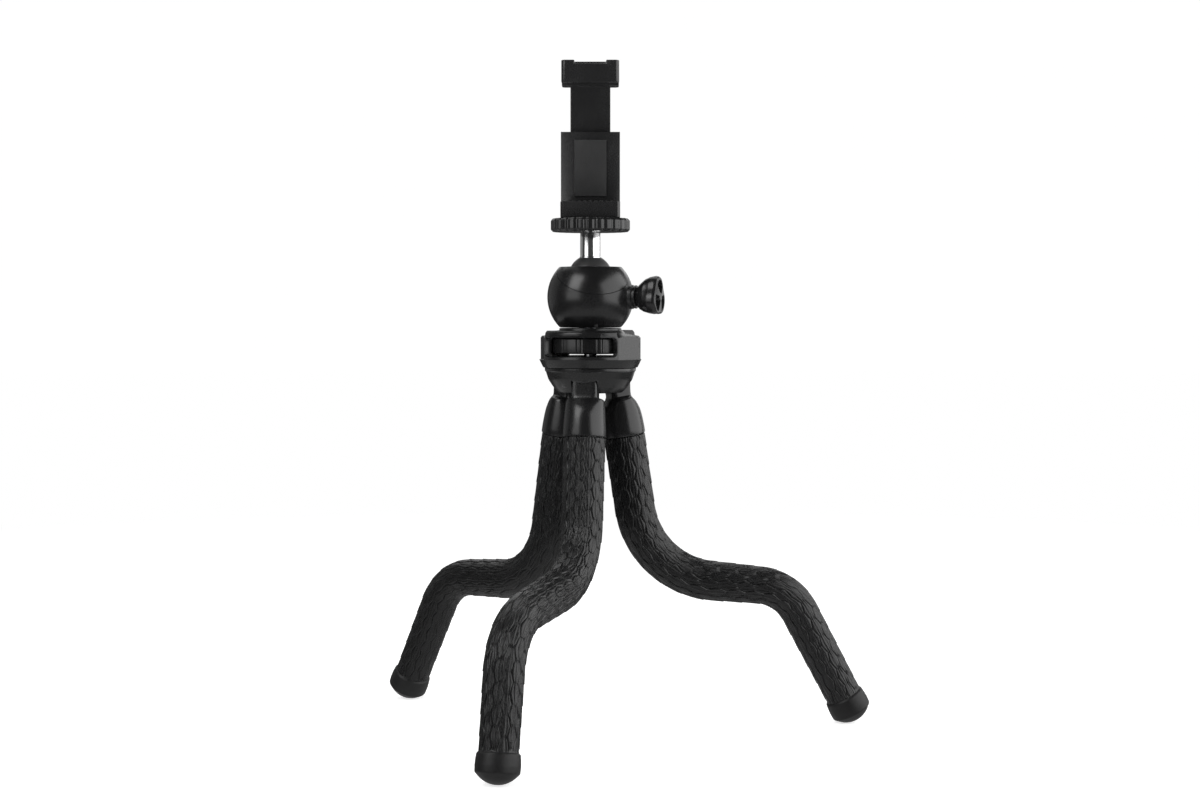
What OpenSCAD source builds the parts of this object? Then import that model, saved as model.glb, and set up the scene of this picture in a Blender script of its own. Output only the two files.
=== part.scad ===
// Flexible leg tripod with ball head and spring phone clip.
// Frame: +Z up, ground at Z = 0 under the head axis, viewer on the -Y side, +X to the viewer's right.
// Sizes are in millimetres.

/* [Hub] */
// Azimuth of the first leg about the head axis, degrees
hub_azimuth = 21; // [0:120]
// Distance from the head axis to each leg hinge pin
pivot_radius = 14; // [13:0.1:15]
// Height of the leg hinge pins above the ground
pivot_height = 175; // [160:190]
// Splay of the sockets from the vertical at rest, degrees
splay = 9; // [4:14]
// Radius of the bowl at its rim
bowl_rim_r = 22.8; // [22:0.1:24]
// Radius of the bowl at its underside
bowl_base_r = 17.4; // [17:0.1:18.5]
// Depth of the bowl below its rim
bowl_depth = 11.3; // [10:0.1:13]
// Distance from the hinge pins up to the bowl rim
rim_above_pin = 7.8; // [7:0.1:9]
// Width of the hinge tongue
tongue_w = 12.7; // [10:0.1:14]
// Radius of the rounded tongue end
tongue_r = 5.6; // [5:0.1:6]
// Diameter of the hinge pins
pin_d = 3.2; // [2.5:0.1:4]
// Half length of the hinge pins
pin_half = 11.5; // [10:0.1:12.5]

/* [Crown] */
// Outer radius of the crown
crown_r = 25.6; // [25:0.1:27]
// Height of the crown above the bowl rim
crown_h = 18.6; // [18:0.1:21]
// Azimuth of the front window's centre, degrees
window_azimuth = -105; // [-120:-90]
// Half angle of each window, degrees
window_half = 46.5; // [40:47]
// Radius of the cavity that holds the thumbwheel
crown_cavity_r = 21.7; // [21.5:0.1:22]
// Height of the windows
window_h = 9.7; // [9:0.1:11]
// Height of the crown's lower ring
crown_ring_h = 5.5; // [5:0.1:7]
// Distance from the axis to the four flat side faces
side_flat = 24.1; // [23.6:0.1:25]
// Drop of the side ledges below the crown's top
ledge_drop = 2.8; // [1.5:0.1:2.9]

/* [Thumbwheel] */
// Radius of the thumbwheel over its ribs
thumb_r = 21.3; // [20.5:0.1:21.4]
// Number of grip ribs on the thumbwheel
thumb_ribs = 13; // [9:20]
// Rounding radius of the grip ribs
thumb_rib_r = 1.5; // [1:0.1:2]
// Height of the grip ribs
thumb_rib_h = 0.7; // [0.4:0.1:0.9]
// Azimuth of the first grip rib, degrees
thumb_turn = -105; // [-180:180]
// See-through gap under the thumbwheel
thumb_gap = 1.5; // [1:0.1:1.8]
// Nominal diameter of the head screw and stud (quarter inch)
screw_d = 6.35; // [6:0.05:6.5]

/* [Ball head] */
// Radius of the spherical housing
housing_r = 21.5; // [21:0.1:24]
// Height of the housing centre above the crown top
housing_above_crown = 16.6; // [16.4:0.1:18]
// Height of the housing below its centre
housing_below = 15.2; // [14:0.1:15.3]
// Height of the housing above its centre
housing_above = 15; // [14.5:0.1:16]
// Radius of the ball
ball_r = 11; // [10.5:0.1:11.4]
// Height of the ball centre above the housing centre
ball_up = 10; // [9.8:0.1:10.5]
// Running gap between the ball and its socket
ball_gap = 0.3; // [0.2:0.05:0.4]
// Tilt of the parting plane, degrees
seam_tilt = 31; // [26:34]
// Height of the parting plane above the housing centre at its low side
seam_low = 1.2; // [0.5:0.1:2]
// Azimuth of the low side of the parting plane, degrees
seam_azimuth = -79; // [-95:-65]
// Azimuth of the lock knob, degrees
knob_azimuth = -17; // [-25:0]
// Turn of the knob's first lobe about its own axis, degrees
knob_turn = 180; // [0:360]
// Largest radius of the lock knob
knob_r = 10.2; // [9:0.1:11.5]
// Distance from the head axis to the knob's outer end
knob_end = 36.6; // [35:0.1:39]
// Diameter of the lock screw
lock_screw_d = 5; // [4:0.1:5.5]
// Radius of the knob collar
collar_r = 6; // [5.5:0.1:6.3]

/* [Stem and wheel] */
// Diameter of the polished stem
stem_d = 11; // [9.5:0.1:11.2]
// Length of the stem from the ball flat to the wheel
stem_len = 12.7; // [11:0.1:15]
// Diameter of the lock wheel
wheel_d = 39.5; // [39:0.1:42]
// Thickness of the lock wheel
wheel_h = 6.8; // [5.5:0.1:8]
// Number of ribs on the lock wheel
wheel_ribs = 26; // [18:40]

/* [Clip] */
// Width of the lower jaw
clip_w = 29.5; // [28:0.1:32]
// Width of the upper jaw
jaw_w = 28.5; // [27:0.1:29.5]
// Distance from the stud axis to the front face of the jaws
clip_front = 12.5; // [12:0.1:13.2]
// Distance from the stud axis to the back face of the clip
clip_back = 13; // [12.8:0.1:13.4]
// Thickness of the front lips
lip_t = 3.2; // [2.5:0.1:3.6]
// Free height between the two jaw pads at rest
jaw_gap = 63.8; // [60:0.1:68]
// Height of the fixed channel above the floor of the clip
channel_h = 38; // [36:0.1:42]
// Half width of the sliding tongue
slider_half = 10; // [9.5:0.1:10.3]
// Thickness of the sliding tongue
slider_t = 5.5; // [5:0.1:5.7]
// Running gap around the sliding tongue
slide_gap = 0.15; // [0.1:0.05:0.2]
// Outer diameter of the jaw springs
spring_d = 4.2; // [3.6:0.1:4.4]
// Wire diameter of the jaw springs
spring_wire = 0.7; // [0.5:0.05:0.9]
// Number of grip teeth along each pad edge
pad_teeth = 10; // [6:14]

/* [Legs] */
// Length of each leg along its axis from hinge pin to foot dome centre
leg_len = 225.1; // [215:0.1:235]
// Radius of the sleeve under the socket
sleeve_top_r = 10.25; // [9.6:0.05:10.6]
// Radius of the sleeve in the upper bend
sleeve_upper_r = 10.0; // [9.4:0.05:10.4]
// Radius of the sleeve in the lower bend
sleeve_lower_r = 9.4; // [8.8:0.05:9.9]
// Radius of the sleeve at the foot
sleeve_end_r = 9.0; // [8.4:0.05:9.4]
// Diameter of the bendable wire core
core_d = 6; // [4.5:0.1:7]
// Twist of each leg's bending plane, degrees
leg_twist = [-18.2, -14.7, -2.55];
// Straight run from hinge pin to the upper bend
leg_run = [64.4, 67.1, 74.2];
// Angle of the upper bend, degrees
upper_angle = [75.8, 73.7, 77.5];
// Radius of the upper bend
upper_radius = [44.3, 37.2, 35.7];
// Angle of the lower bend, degrees
lower_angle = [56.4, 69.0, 59.2];
// Radius of the lower bend
lower_radius = [26.7, 31.5, 28.5];

/* [Sockets and feet] */
// Distance from hinge pin to the socket shoulder
shoulder_at = 7.5; // [7:0.1:8.5]
// Distance from hinge pin to the socket's lower end
socket_end = 26.5; // [24:0.1:29]
// Radius of the socket at its lower end
socket_r = 10.75; // [10.3:0.05:11.2]
// Radius of the socket at its shoulder
shoulder_r = 9.3; // [8.6:0.1:9.8]
// Radius of the foot
foot_r = 10.4; // [9.6:0.1:10.9]
// Radius of the foot dome
foot_dome_r = 12; // [11.5:0.1:13]
// Height of the foot above its dome centre
foot_above = 2.5; // [1.5:0.1:3.5]

/* [Fits] */
// Running clearance of pins and screws, on radius
run_fit = 0.05; // [0.02:0.01:0.1]
// Gap between faces that move past each other
move_gap = 0.3; // [0.2:0.05:0.4]
// Clearance of the hinge tongue in its slot, each side
slot_fit = 0.2; // [0.15:0.05:0.3]

/* [Hidden] */
$fn = 96;
eps = 0.02;
lap = 0.05;
step_up = 0.02;
part_gap = 0.02;
part_turn = 0.04;
clip_screw_len = 5;
clip_screw_r = 0.85;
lip_pad_t = 0.8;
rim_z = pivot_height + rim_above_pin;
bowl_z = rim_z - bowl_depth;
crown_z = rim_z;
crown_top = rim_z + crown_h;
ledge_z = crown_top - ledge_drop;
window_z = crown_z + crown_ring_h;
window_top = window_z + window_h;
plateau_z = window_z + move_gap;
thumb_z = plateau_z + thumb_gap;
thumb_top = window_top - move_gap;
house_z = crown_top + housing_above_crown;
house_bottom = house_z - housing_below;
house_top = house_z + housing_above;
boss_top = house_bottom - move_gap;
boss_r = 15.5;
ball_z = house_z + ball_up;
cavity_r = ball_r + ball_gap;
stem_r = stem_d / 2;
ball_flat_z = ball_z + sqrt(ball_r * ball_r - stem_r * stem_r);
wheel_z = ball_flat_z + stem_len;
wheel_top = wheel_z + wheel_h;
screw_r = screw_d / 2;
screw_into_head = 8;
journal_r = screw_r;
grip_r = 5;
seat_r = 9;
seat_z = house_z - 5;
shell_screw_at = 13;
shell_screw_r = 1.25;
shell_screw_turn = 22;
shoe_r = 3.5;
shoe_out = 13;
collar_in = 18.5;
collar_out = 24.2;
knob_in = collar_out + move_gap;
clip_z = wheel_top + move_gap;
floor_t = 5;
floor_z = clip_z + floor_t;
pad_t = 1;
pad_z = floor_z + pad_t;
lip_up = 2.6;
jaw_pad_z = pad_z + jaw_gap;
jaw_z = jaw_pad_z + pad_t;
jaw_t = 6.2;
jaw_top = jaw_z + jaw_t;
jaw_lip_down = 4.9;
plate_y = 3.2;
tongue_y = 5.4;
cover_t = 1.4;
cover_y = clip_back - cover_t;
channel_top = floor_z + channel_h;
channel_half = slider_half + slide_gap;
tongue_low = floor_z + 8.7;
spring_x = 5;
spring_low = floor_z + 1.5;
spring_high = channel_top - 2;
spring_y = tongue_y + 1.2 + spring_d / 2 + 0.4;
insert_r = 5.5;
insert_h = floor_t - 0.1;
pad_half = clip_w / 2 - 1.2;
jaw_pad_half = jaw_w / 2 - 1.1;
chamfer = 1.3;
core_r = core_d / 2;
core_up = 12;
core_down = 6;
foot_z = foot_dome_r;
legs = [0, 1, 2];
leg_turn = [hub_azimuth, hub_azimuth - 120, hub_azimuth + 120];

// Arc length of a bend
function arc(radius, angle) = radius * angle * PI / 180;

// Rise of the leg per unit of its local x and z
function rise_x(i) = cos(leg_twist[i]) * sin(splay);
function rise_z(i) = cos(splay);

// Angle of the lower leg from its socket axis
function low_angle(i) = upper_angle[i] - lower_angle[i];

// Local x and z moved by the two bends alone
function bend_x(i) = upper_radius[i] * (1 - cos(upper_angle[i]))
  + lower_radius[i] * (cos(low_angle(i)) - cos(upper_angle[i]));
function bend_z(i) = -leg_run[i] - upper_radius[i] * sin(upper_angle[i])
  - lower_radius[i] * (sin(upper_angle[i]) - sin(low_angle(i)));

// Straight length left over for the two lower straights together
function spare(i) = leg_len - leg_run[i] - arc(upper_radius[i], upper_angle[i])
  - arc(lower_radius[i], lower_angle[i]);

// Rise per unit length along the middle and the lower straight
function rise_mid(i) = rise_x(i) * sin(upper_angle[i]) - rise_z(i) * cos(upper_angle[i]);
function rise_low(i) = rise_x(i) * sin(low_angle(i)) - rise_z(i) * cos(low_angle(i));

// Rise still needed to set the foot dome on the ground
function need(i) = foot_z - pivot_height - rise_x(i) * bend_x(i) - rise_z(i) * bend_z(i);
function low_len(i) = (need(i) - spare(i) * rise_mid(i)) / (rise_low(i) - rise_mid(i));
function mid_len(i) = spare(i) - low_len(i);

// Points of the leg axis in its own plane, as x and z from the hinge pin
function upper_centre(i) = [upper_radius[i], -leg_run[i]];
function mid_start(i) = upper_centre(i) - upper_radius[i] * [cos(upper_angle[i]), sin(upper_angle[i])];
function mid_dir(i) = [sin(upper_angle[i]), -cos(upper_angle[i])];
function mid_end(i) = mid_start(i) + mid_len(i) * mid_dir(i);
function lower_centre(i) = mid_end(i) - lower_radius[i] * [cos(upper_angle[i]), sin(upper_angle[i])];
function low_start(i) = lower_centre(i) + lower_radius[i] * [cos(low_angle(i)), sin(low_angle(i))];
function low_dir(i) = [sin(low_angle(i)), -cos(low_angle(i))];

// Puts a leg piece at its place on the hub
module on_leg(i) {
  rotate([0, 0, leg_turn[i]])
    translate([pivot_radius, 0, pivot_height])
      rotate([0, -splay, 0])
        rotate([0, 0, leg_twist[i]])
          children();
}

// Straight round bar from a point along a direction
module bar(p, angle, len, ra, rb) {
  translate([p[0], 0, p[1]])
    rotate([0, 180 - angle, 0])
      cylinder(h = len, r1 = ra, r2 = rb);
}

// Round bar bent outward about a centre
module bend_out(c, radius, from, to, r) {
  translate([c[0], 0, c[1]])
    rotate([-90, 0, 180])
      rotate([0, 0, from])
        rotate_extrude(angle = to - from)
          translate([radius, 0])
            circle(r = r);
}

// Round bar bent back down about a centre
module bend_in(c, radius, from, to, r) {
  translate([c[0], 0, c[1]])
    rotate([90, 0, 0])
      rotate([0, 0, to])
        rotate_extrude(angle = from - to)
          translate([radius, 0])
            circle(r = r);
}

// The four lengths of a leg as round bars, from radius a to radius b
module length_1(i, start, a, b) {
  bar([0, -start], 0, leg_run[i] - start + lap, a + step_up, b + step_up);
  bend_out(upper_centre(i), upper_radius[i], 0, upper_angle[i] / 2, b);
}
module length_2(i, a, b) {
  start = mid_start(i) - lap * mid_dir(i);
  bend_out(upper_centre(i), upper_radius[i], upper_angle[i] / 2 + part_turn, upper_angle[i], a);
  bar(start, upper_angle[i], mid_len(i) / 2 + lap, a + step_up, b + step_up);
}
module length_3(i, a, b) {
  half = mid_len(i) / 2 + part_gap;
  start = mid_start(i) + half * mid_dir(i);
  bar(start, upper_angle[i], mid_len(i) - half + lap, a + step_up, b + step_up);
  bend_in(lower_centre(i), lower_radius[i], upper_angle[i], (upper_angle[i] + low_angle(i)) / 2, b);
}
module length_4(i, past, a, b) {
  start = low_start(i) - lap * low_dir(i);
  half_angle = (upper_angle[i] + low_angle(i)) / 2 - part_turn;
  bend_in(lower_centre(i), lower_radius[i], half_angle, low_angle(i), a);
  bar(start, low_angle(i), low_len(i) + past + lap, a + step_up, b + step_up);
}

module sleeve_1(i) {
  color("dimgray")
    on_leg(i)
      difference() {
        length_1(i, socket_end, sleeve_top_r, sleeve_upper_r);
        length_1(i, socket_end - 1, core_r + run_fit, core_r + run_fit);
      }
}
module sleeve_2(i) {
  mid_r = (sleeve_upper_r + sleeve_lower_r) / 2;
  color("dimgray")
    on_leg(i)
      difference() {
        length_2(i, sleeve_upper_r, mid_r);
        length_2(i, core_r + run_fit, core_r + run_fit);
      }
}
module sleeve_3(i) {
  mid_r = (sleeve_upper_r + sleeve_lower_r) / 2;
  color("dimgray")
    on_leg(i)
      difference() {
        length_3(i, mid_r, sleeve_lower_r);
        length_3(i, core_r + run_fit, core_r + run_fit);
      }
}
module sleeve_4(i) {
  color("dimgray")
    on_leg(i)
      difference() {
        length_4(i, -foot_above - part_gap, sleeve_lower_r, sleeve_end_r);
        length_4(i, 1, core_r + run_fit, core_r + run_fit);
      }
}
module core_1(i) {
  color("silver")
    on_leg(i)
      length_1(i, socket_end - core_up, core_r, core_r);
}
module core_2(i) {
  color("silver")
    on_leg(i)
      length_2(i, core_r, core_r);
}
module core_3(i) {
  color("silver")
    on_leg(i)
      length_3(i, core_r, core_r);
}
module core_4(i) {
  color("silver")
    on_leg(i)
      length_4(i, core_down - foot_above, core_r, core_r);
}

// Socket that carries the leg on its hinge pin
module socket(i) {
  mid = (shoulder_at + socket_end) / 2;
  color("#2b2c2e")
    rotate([0, 0, leg_turn[i]])
      translate([pivot_radius, 0, pivot_height])
        rotate([0, -splay, 0])
          difference() {
            union() {
              rotate([90, 0, 0])
                cylinder(h = tongue_w, r = tongue_r, center = true);
              translate([-tongue_r, -tongue_w / 2, -shoulder_at - 3])
                cube([2 * tongue_r, tongue_w, shoulder_at + 3]);
              rotate_extrude()
                polygon([[0, -socket_end], [socket_r, -socket_end], [socket_r, -socket_end + 3.2],
                  [socket_r - 0.25, -mid - 2.8], [socket_r - 0.65, -mid + 2.6],
                  [shoulder_r, -shoulder_at - 0.9], [shoulder_r - 1.2, -shoulder_at], [0, -shoulder_at]]);
            }
            rotate([90, 0, 0])
              cylinder(h = tongue_w + 2, r = pin_d / 2 + run_fit, center = true);
            translate([0, 0, -socket_end - 1])
              cylinder(h = core_up + 1.3, r = core_r + run_fit);
          }
}

// Rubber foot with a domed underside
module foot(i) {
  c = low_start(i) + low_dir(i) * low_len(i);
  color("#1b1c1d")
    on_leg(i)
      translate([c[0], 0, c[1]])
        rotate([0, -low_angle(i), 0])
          difference() {
            intersection() {
              sphere(r = foot_dome_r);
              rotate_extrude()
                polygon([[0, -foot_dome_r - 1], [foot_r, -foot_dome_r - 1], [foot_r, foot_above - 1.2],
                  [foot_r - 0.8, foot_above], [0, foot_above]]);
            }
            translate([0, 0, foot_above - core_down - 0.3])
              cylinder(h = core_down + 1, r = core_r + run_fit);
          }
}

// Slot in the bowl in which one hinge tongue swings
module leg_slot(i) {
  slot_w = tongue_w + 2 * slot_fit;
  slot_r = tongue_r + 0.8;
  rotate([0, 0, leg_turn[i]])
    translate([pivot_radius, 0, pivot_height]) {
      rotate([90, 0, 0])
        cylinder(h = slot_w, r = slot_r, center = true);
      translate([-slot_r, -slot_w / 2, -bowl_depth])
        cube([slot_r + 16, slot_w, bowl_depth]);
    }
}

module hub_bowl() {
  color("#2b2c2e")
    difference() {
      union() {
        rotate_extrude()
          polygon([[0, bowl_z], [bowl_base_r - 1.2, bowl_z], [bowl_base_r, bowl_z + 0.9],
            [(bowl_base_r + bowl_rim_r) / 2 + 0.75, bowl_z + bowl_depth * 0.47],
            [bowl_rim_r - 0.35, bowl_z + bowl_depth * 0.8], [bowl_rim_r, rim_z], [0, rim_z]]);
        translate([0, 0, rim_z - 1])
          cylinder(h = plateau_z - rim_z + 1, r = crown_cavity_r - run_fit);
      }
      for (i = legs)
        leg_slot(i);
      for (i = legs)
        rotate([0, 0, leg_turn[i]])
          translate([pivot_radius, 0, pivot_height])
            rotate([90, 0, 0])
              cylinder(h = 2 * pin_half + 0.4, r = pin_d / 2 + run_fit, center = true);
      translate([0, 0, rim_z - 2])
        cylinder(h = plateau_z - rim_z + 3, r = journal_r + run_fit);
    }
}

module hinge_pins() {
  color("silver")
    for (i = legs)
      rotate([0, 0, leg_turn[i]])
        translate([pivot_radius, 0, pivot_height])
          rotate([90, 0, 0])
            cylinder(h = 2 * pin_half, r = pin_d / 2, center = true);
}

module crown() {
  far = 2 * crown_r;
  reach = far * [cos(window_half), sin(window_half)];
  color("#242527")
    difference() {
      union() {
        rotate_extrude()
          polygon([[0, crown_z], [crown_r - 2.1, crown_z], [crown_r - 0.2, crown_z + 4.2],
            [crown_r, crown_z + 5], [crown_r, ledge_z - 0.8], [crown_r - 0.9, ledge_z],
            [boss_r + 1.8, ledge_z + 1.4], [boss_r + 1, crown_top], [0, crown_top]]);
        for (turn = [0, 180])
          rotate([0, 0, window_azimuth + turn - window_half + 0.5])
            rotate_extrude(angle = 2 * window_half - 1)
              polygon([[boss_r, ledge_z - 1.1], [crown_r - lap, ledge_z - 1.1],
                [crown_r - lap, crown_top - 1], [crown_r - 1.2, crown_top - lap],
                [boss_r, crown_top - lap]]);
        translate([0, 0, crown_top - 1])
          cylinder(h = boss_top - crown_top + 1, r = boss_r);
      }
      translate([0, 0, crown_z - 1])
        cylinder(h = window_top - crown_z + 1, r = crown_cavity_r);
      translate([0, 0, window_top - 1])
        cylinder(h = boss_top - window_top + 2, r = screw_r + 0.4);
      for (turn = [0, 180])
        rotate([0, 0, window_azimuth + turn])
          translate([0, 0, window_z])
            linear_extrude(height = window_h)
              polygon([[0, 0], [reach[0], -reach[1]], [far, 0], [reach[0], reach[1]]]);
      for (turn = [67.5, 112.5, 247.5, 292.5])
        rotate([0, 0, window_azimuth + turn])
          translate([side_flat, -crown_r / 2, crown_z + 4.2])
            cube([10, crown_r, ledge_z - crown_z - 3]);
    }
}

module thumbwheel() {
  step = 360 / thumb_ribs;
  color("#1e1f20")
    translate([0, 0, thumb_z])
      difference() {
        linear_extrude(height = thumb_top - thumb_z)
          difference() {
            union() {
              circle(r = thumb_r - thumb_rib_h);
              for (k = [0 : thumb_ribs - 1])
                rotate(thumb_turn + k * step)
                  translate([thumb_r - thumb_rib_r, 0])
                    circle(r = thumb_rib_r);
            }
            circle(r = grip_r + run_fit);
          }
        translate([0, 0, thumb_top - thumb_z - 2.5])
          difference() {
            cylinder(h = 3, r = thumb_r - 4);
            translate([0, 0, -1])
              cylinder(h = 5, r = grip_r + 3);
          }
      }
}

module thumbwheel_screw() {
  color("silver") {
    translate([0, 0, rim_z - 1.7])
      cylinder(h = thumb_z - rim_z + 1.7, r = journal_r);
    translate([0, 0, thumb_z])
      cylinder(h = thumb_top - thumb_z, r = grip_r);
    translate([0, 0, thumb_top])
      cylinder(h = house_bottom - thumb_top + screw_into_head, r = screw_r);
  }
}

// Half space above the oblique parting plane of the housing
module seam_half() {
  rotate([0, 0, seam_azimuth])
    translate([housing_r, 0, house_z + seam_low])
      rotate([0, seam_tilt, 0])
        translate([-70, -50, 0])
          cube([100, 100, 60]);
}

// Places things along the lock knob's axis, with local z outward
module on_knob() {
  translate([0, 0, house_z])
    rotate([0, 0, knob_azimuth])
      rotate([0, 90, 0])
        children();
}

module shell_screw_places() {
  for (turn = [-shell_screw_turn, shell_screw_turn])
    rotate([0, 0, seam_azimuth + turn])
      translate([shell_screw_at, 0, house_bottom])
        children();
}

// Housing before it is parted
module housing() {
  difference() {
    intersection() {
      translate([0, 0, house_z])
        sphere(r = housing_r);
      translate([0, 0, house_bottom])
        cylinder(h = housing_below + housing_above, r = housing_r + 1);
    }
    translate([0, 0, ball_z])
      sphere(r = cavity_r);
    translate([0, 0, seat_z - eps])
      cylinder(h = ball_z - seat_z, r = seat_r + run_fit);
    translate([0, 0, house_bottom - 1])
      cylinder(h = screw_into_head + 1.5, r = screw_r + run_fit);
    shell_screw_places() {
      translate([0, 0, -1])
        cylinder(h = housing_below + ball_up + 1.3, r = shell_screw_r + run_fit);
      translate([0, 0, -1])
        cylinder(h = 4, r = 2.3);
    }
    on_knob() {
      cylinder(h = housing_r + 5, r = shoe_r + run_fit);
      translate([0, 0, collar_in])
        cylinder(h = housing_r, r = collar_r + run_fit);
    }
  }
}

module head_lower_shell() {
  color("#26272a") {
    difference() {
      housing();
      seam_half();
    }
    translate([2.1, -sqrt(housing_r * housing_r - housing_below * housing_below) - 1.2, house_bottom])
      cube([1.6, 3, 2.8]);
  }
}

module head_upper_shell() {
  color("#2a2b2e")
    intersection() {
      housing();
      seam_half();
    }
}

module shell_screws() {
  color("silver")
    shell_screw_places() {
      cylinder(h = housing_below + ball_up, r = shell_screw_r);
      translate([0, 0, 0.8])
        cylinder(h = 2.1, r = 2.2);
    }
}

module ball_seat() {
  color("ivory")
    difference() {
      translate([0, 0, seat_z])
        cylinder(h = ball_z - seat_z - 4, r = seat_r);
      translate([0, 0, ball_z])
        sphere(r = cavity_r);
    }
}

module clamp_shoe() {
  color("#b08d57")
    on_knob()
      difference() {
        translate([0, 0, seat_r - 1])
          cylinder(h = shoe_out - seat_r + 1, r = shoe_r);
        rotate([0, -90, 0])
          translate([0, 0, -20])
            cylinder(h = 40, r = seat_r + 2 * run_fit);
      }
}

module knob_collar() {
  color("#161718")
    on_knob()
      difference() {
        translate([0, 0, collar_in])
          cylinder(h = collar_out - collar_in, r = collar_r);
        translate([0, 0, collar_in - 1])
          cylinder(h = collar_out - collar_in + 2, r = lock_screw_d / 2 + run_fit);
      }
}

module lock_screw() {
  color("silver")
    on_knob()
      translate([0, 0, shoe_out + 0.1])
        cylinder(h = knob_end - 5 - shoe_out - 0.1, r = lock_screw_d / 2);
}

module lock_knob() {
  color("#1d1e20")
    on_knob()
      difference() {
        rotate_extrude()
          polygon([[0, knob_in], [4.7, knob_in], [5.2, knob_in + 0.6], [knob_r * 0.66, knob_in + 1.9],
            [knob_r * 0.84, knob_in + 4.2], [knob_r * 0.95, knob_in + 6.8], [knob_r, knob_in + 9],
            [knob_r - 0.35, knob_end - 1.1], [knob_r - 1.5, knob_end], [0, knob_end]]);
        for (k = [0 : 2])
          rotate([0, 0, knob_turn + k * 120 + 60])
            translate([knob_r + 5.6, 0, knob_in - 1])
              cylinder(h = knob_end - knob_in + 2, r = 8);
        for (k = [0 : 2])
          rotate([0, 0, knob_turn + k * 120 + 60])
            translate([4.1, 0, knob_end - 3])
              cylinder(h = 4, r = 2);
        translate([0, 0, knob_in - 1])
          cylinder(h = knob_end - 5 - knob_in + 1, r = lock_screw_d / 2 + run_fit);
      }
}

module ball() {
  color("#17181a")
    difference() {
      translate([0, 0, ball_z])
        sphere(r = ball_r);
      translate([0, 0, ball_flat_z])
        cylinder(h = ball_r, r = ball_r);
      translate([0, 0, ball_flat_z - 8])
        cylinder(h = 9, r = 3 + run_fit);
    }
}

module ball_stem() {
  color("#d9dadc")
    difference() {
      union() {
        translate([0, 0, ball_flat_z])
          cylinder(h = stem_len, r = stem_r);
        translate([0, 0, ball_flat_z - 7.8])
          cylinder(h = 8, r = 3);
      }
      translate([0, 0, wheel_z - 6])
        cylinder(h = 7, r = screw_r + run_fit);
    }
}

module stud() {
  color("silver")
    translate([0, 0, wheel_z - 5.9])
      cylinder(h = 5.9 + wheel_h + move_gap + 4.4, r = screw_r);
}

module lock_wheel() {
  step = 360 / wheel_ribs;
  r = wheel_d / 2;
  color("#1f2022")
    intersection() {
      translate([0, 0, wheel_z + move_gap / 2])
        linear_extrude(height = wheel_h - move_gap / 2)
          difference() {
            circle(r = r);
            for (k = [0 : wheel_ribs - 1])
              rotate(k * step)
                translate([r + 0.75, 0])
                  circle(r = 1.4);
            circle(r = screw_r + run_fit);
          }
      rotate_extrude()
        polygon([[0, wheel_z], [r - 1.1, wheel_z], [r, wheel_z + 1.1], [r, wheel_top - 1.1],
          [r - 1.1, wheel_top], [0, wheel_top]]);
    }
}

// Plan outline of a jaw with chamfered corners
module jaw_plan(w) {
  h = w / 2;
  polygon([[-h + chamfer, -clip_front], [h - chamfer, -clip_front], [h, -clip_front + chamfer],
    [h, clip_back - chamfer], [h - chamfer, clip_back], [-h + chamfer, clip_back],
    [-h, clip_back - chamfer], [-h, -clip_front + chamfer]]);
}

module clip_screw_places() {
  for (x = [-1, 1])
    for (z = [floor_z + 4, channel_top - 4])
      translate([x * (channel_half + 2), cover_y, z])
        rotate([-90, 0, 0])
          children();
}

module clip_base() {
  h = clip_w / 2;
  color("#232426")
    difference() {
      translate([0, 0, clip_z])
        linear_extrude(height = channel_top - clip_z)
          jaw_plan(clip_w);
      translate([-h - 1, lip_t - clip_front, floor_z])
        cube([clip_w + 2, clip_front - lip_t + plate_y, channel_h + 1]);
      translate([-h - 1, -clip_front - 1, floor_z + lip_up])
        cube([clip_w + 2, lip_t + 2, channel_h]);
      translate([-channel_half, tongue_y - slide_gap, floor_z + 0.2])
        cube([2 * channel_half, cover_y - tongue_y + slide_gap + 2, channel_h]);
      translate([-h - 1, cover_y, floor_z])
        cube([clip_w + 2, cover_t + 1, channel_h + 1]);
      translate([0, 0, clip_z - 1])
        cylinder(h = floor_t + 2, r = insert_r + run_fit);
      clip_screw_places()
        translate([0, 0, -clip_screw_len - 0.2])
          cylinder(h = clip_screw_len + 1, r = clip_screw_r + run_fit);
    }
}

module clip_insert() {
  color("#b08d57")
    translate([0, 0, clip_z])
      difference() {
        cylinder(h = insert_h, r = insert_r);
        translate([0, 0, -1])
          cylinder(h = insert_h + 2, r = screw_r + run_fit);
      }
}

// Rubber facing of a jaw: a strip on its floor, and a strip on its lip with grip teeth
module jaw_pad(half, base, up, tall) {
  lip_y = lip_t - clip_front;
  floor_y = lip_y + lip_pad_t + lap;
  pitch = 2 * half / pad_teeth;
  low = up > 0 ? base : base - tall;
  cut = up > 0 ? base + tall - 0.7 : base - tall - 1;
  translate([-half, floor_y, up > 0 ? base : base - pad_t])
    cube([2 * half, plate_y - floor_y - 0.6, pad_t]);
  difference() {
    translate([-half, lip_y, low])
      cube([2 * half, lip_pad_t, tall]);
    for (k = [0 : pad_teeth - 1])
      translate([-half + (k + 0.32) * pitch, lip_y - 1, cut])
        cube([pitch * 0.36, 3, 1.7]);
  }
}

module clip_lower_pad() {
  color("#141516")
    jaw_pad(pad_half, floor_z, 1, lip_up + 0.6);
}

module clip_back_pad() {
  color("#141516")
    translate([-8, plate_y - 1, floor_z + 6])
      cube([16, 1, channel_h - 10]);
}

module clip_cover() {
  h = clip_w / 2;
  color("#1c1d1f")
    difference() {
      translate([0, 0, floor_z])
        linear_extrude(height = channel_h)
          intersection() {
            jaw_plan(clip_w);
            translate([-h, cover_y])
              square([clip_w, cover_t]);
          }
      clip_screw_places()
        translate([0, 0, -1])
          cylinder(h = 4, r = 1.9);
    }
}

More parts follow.
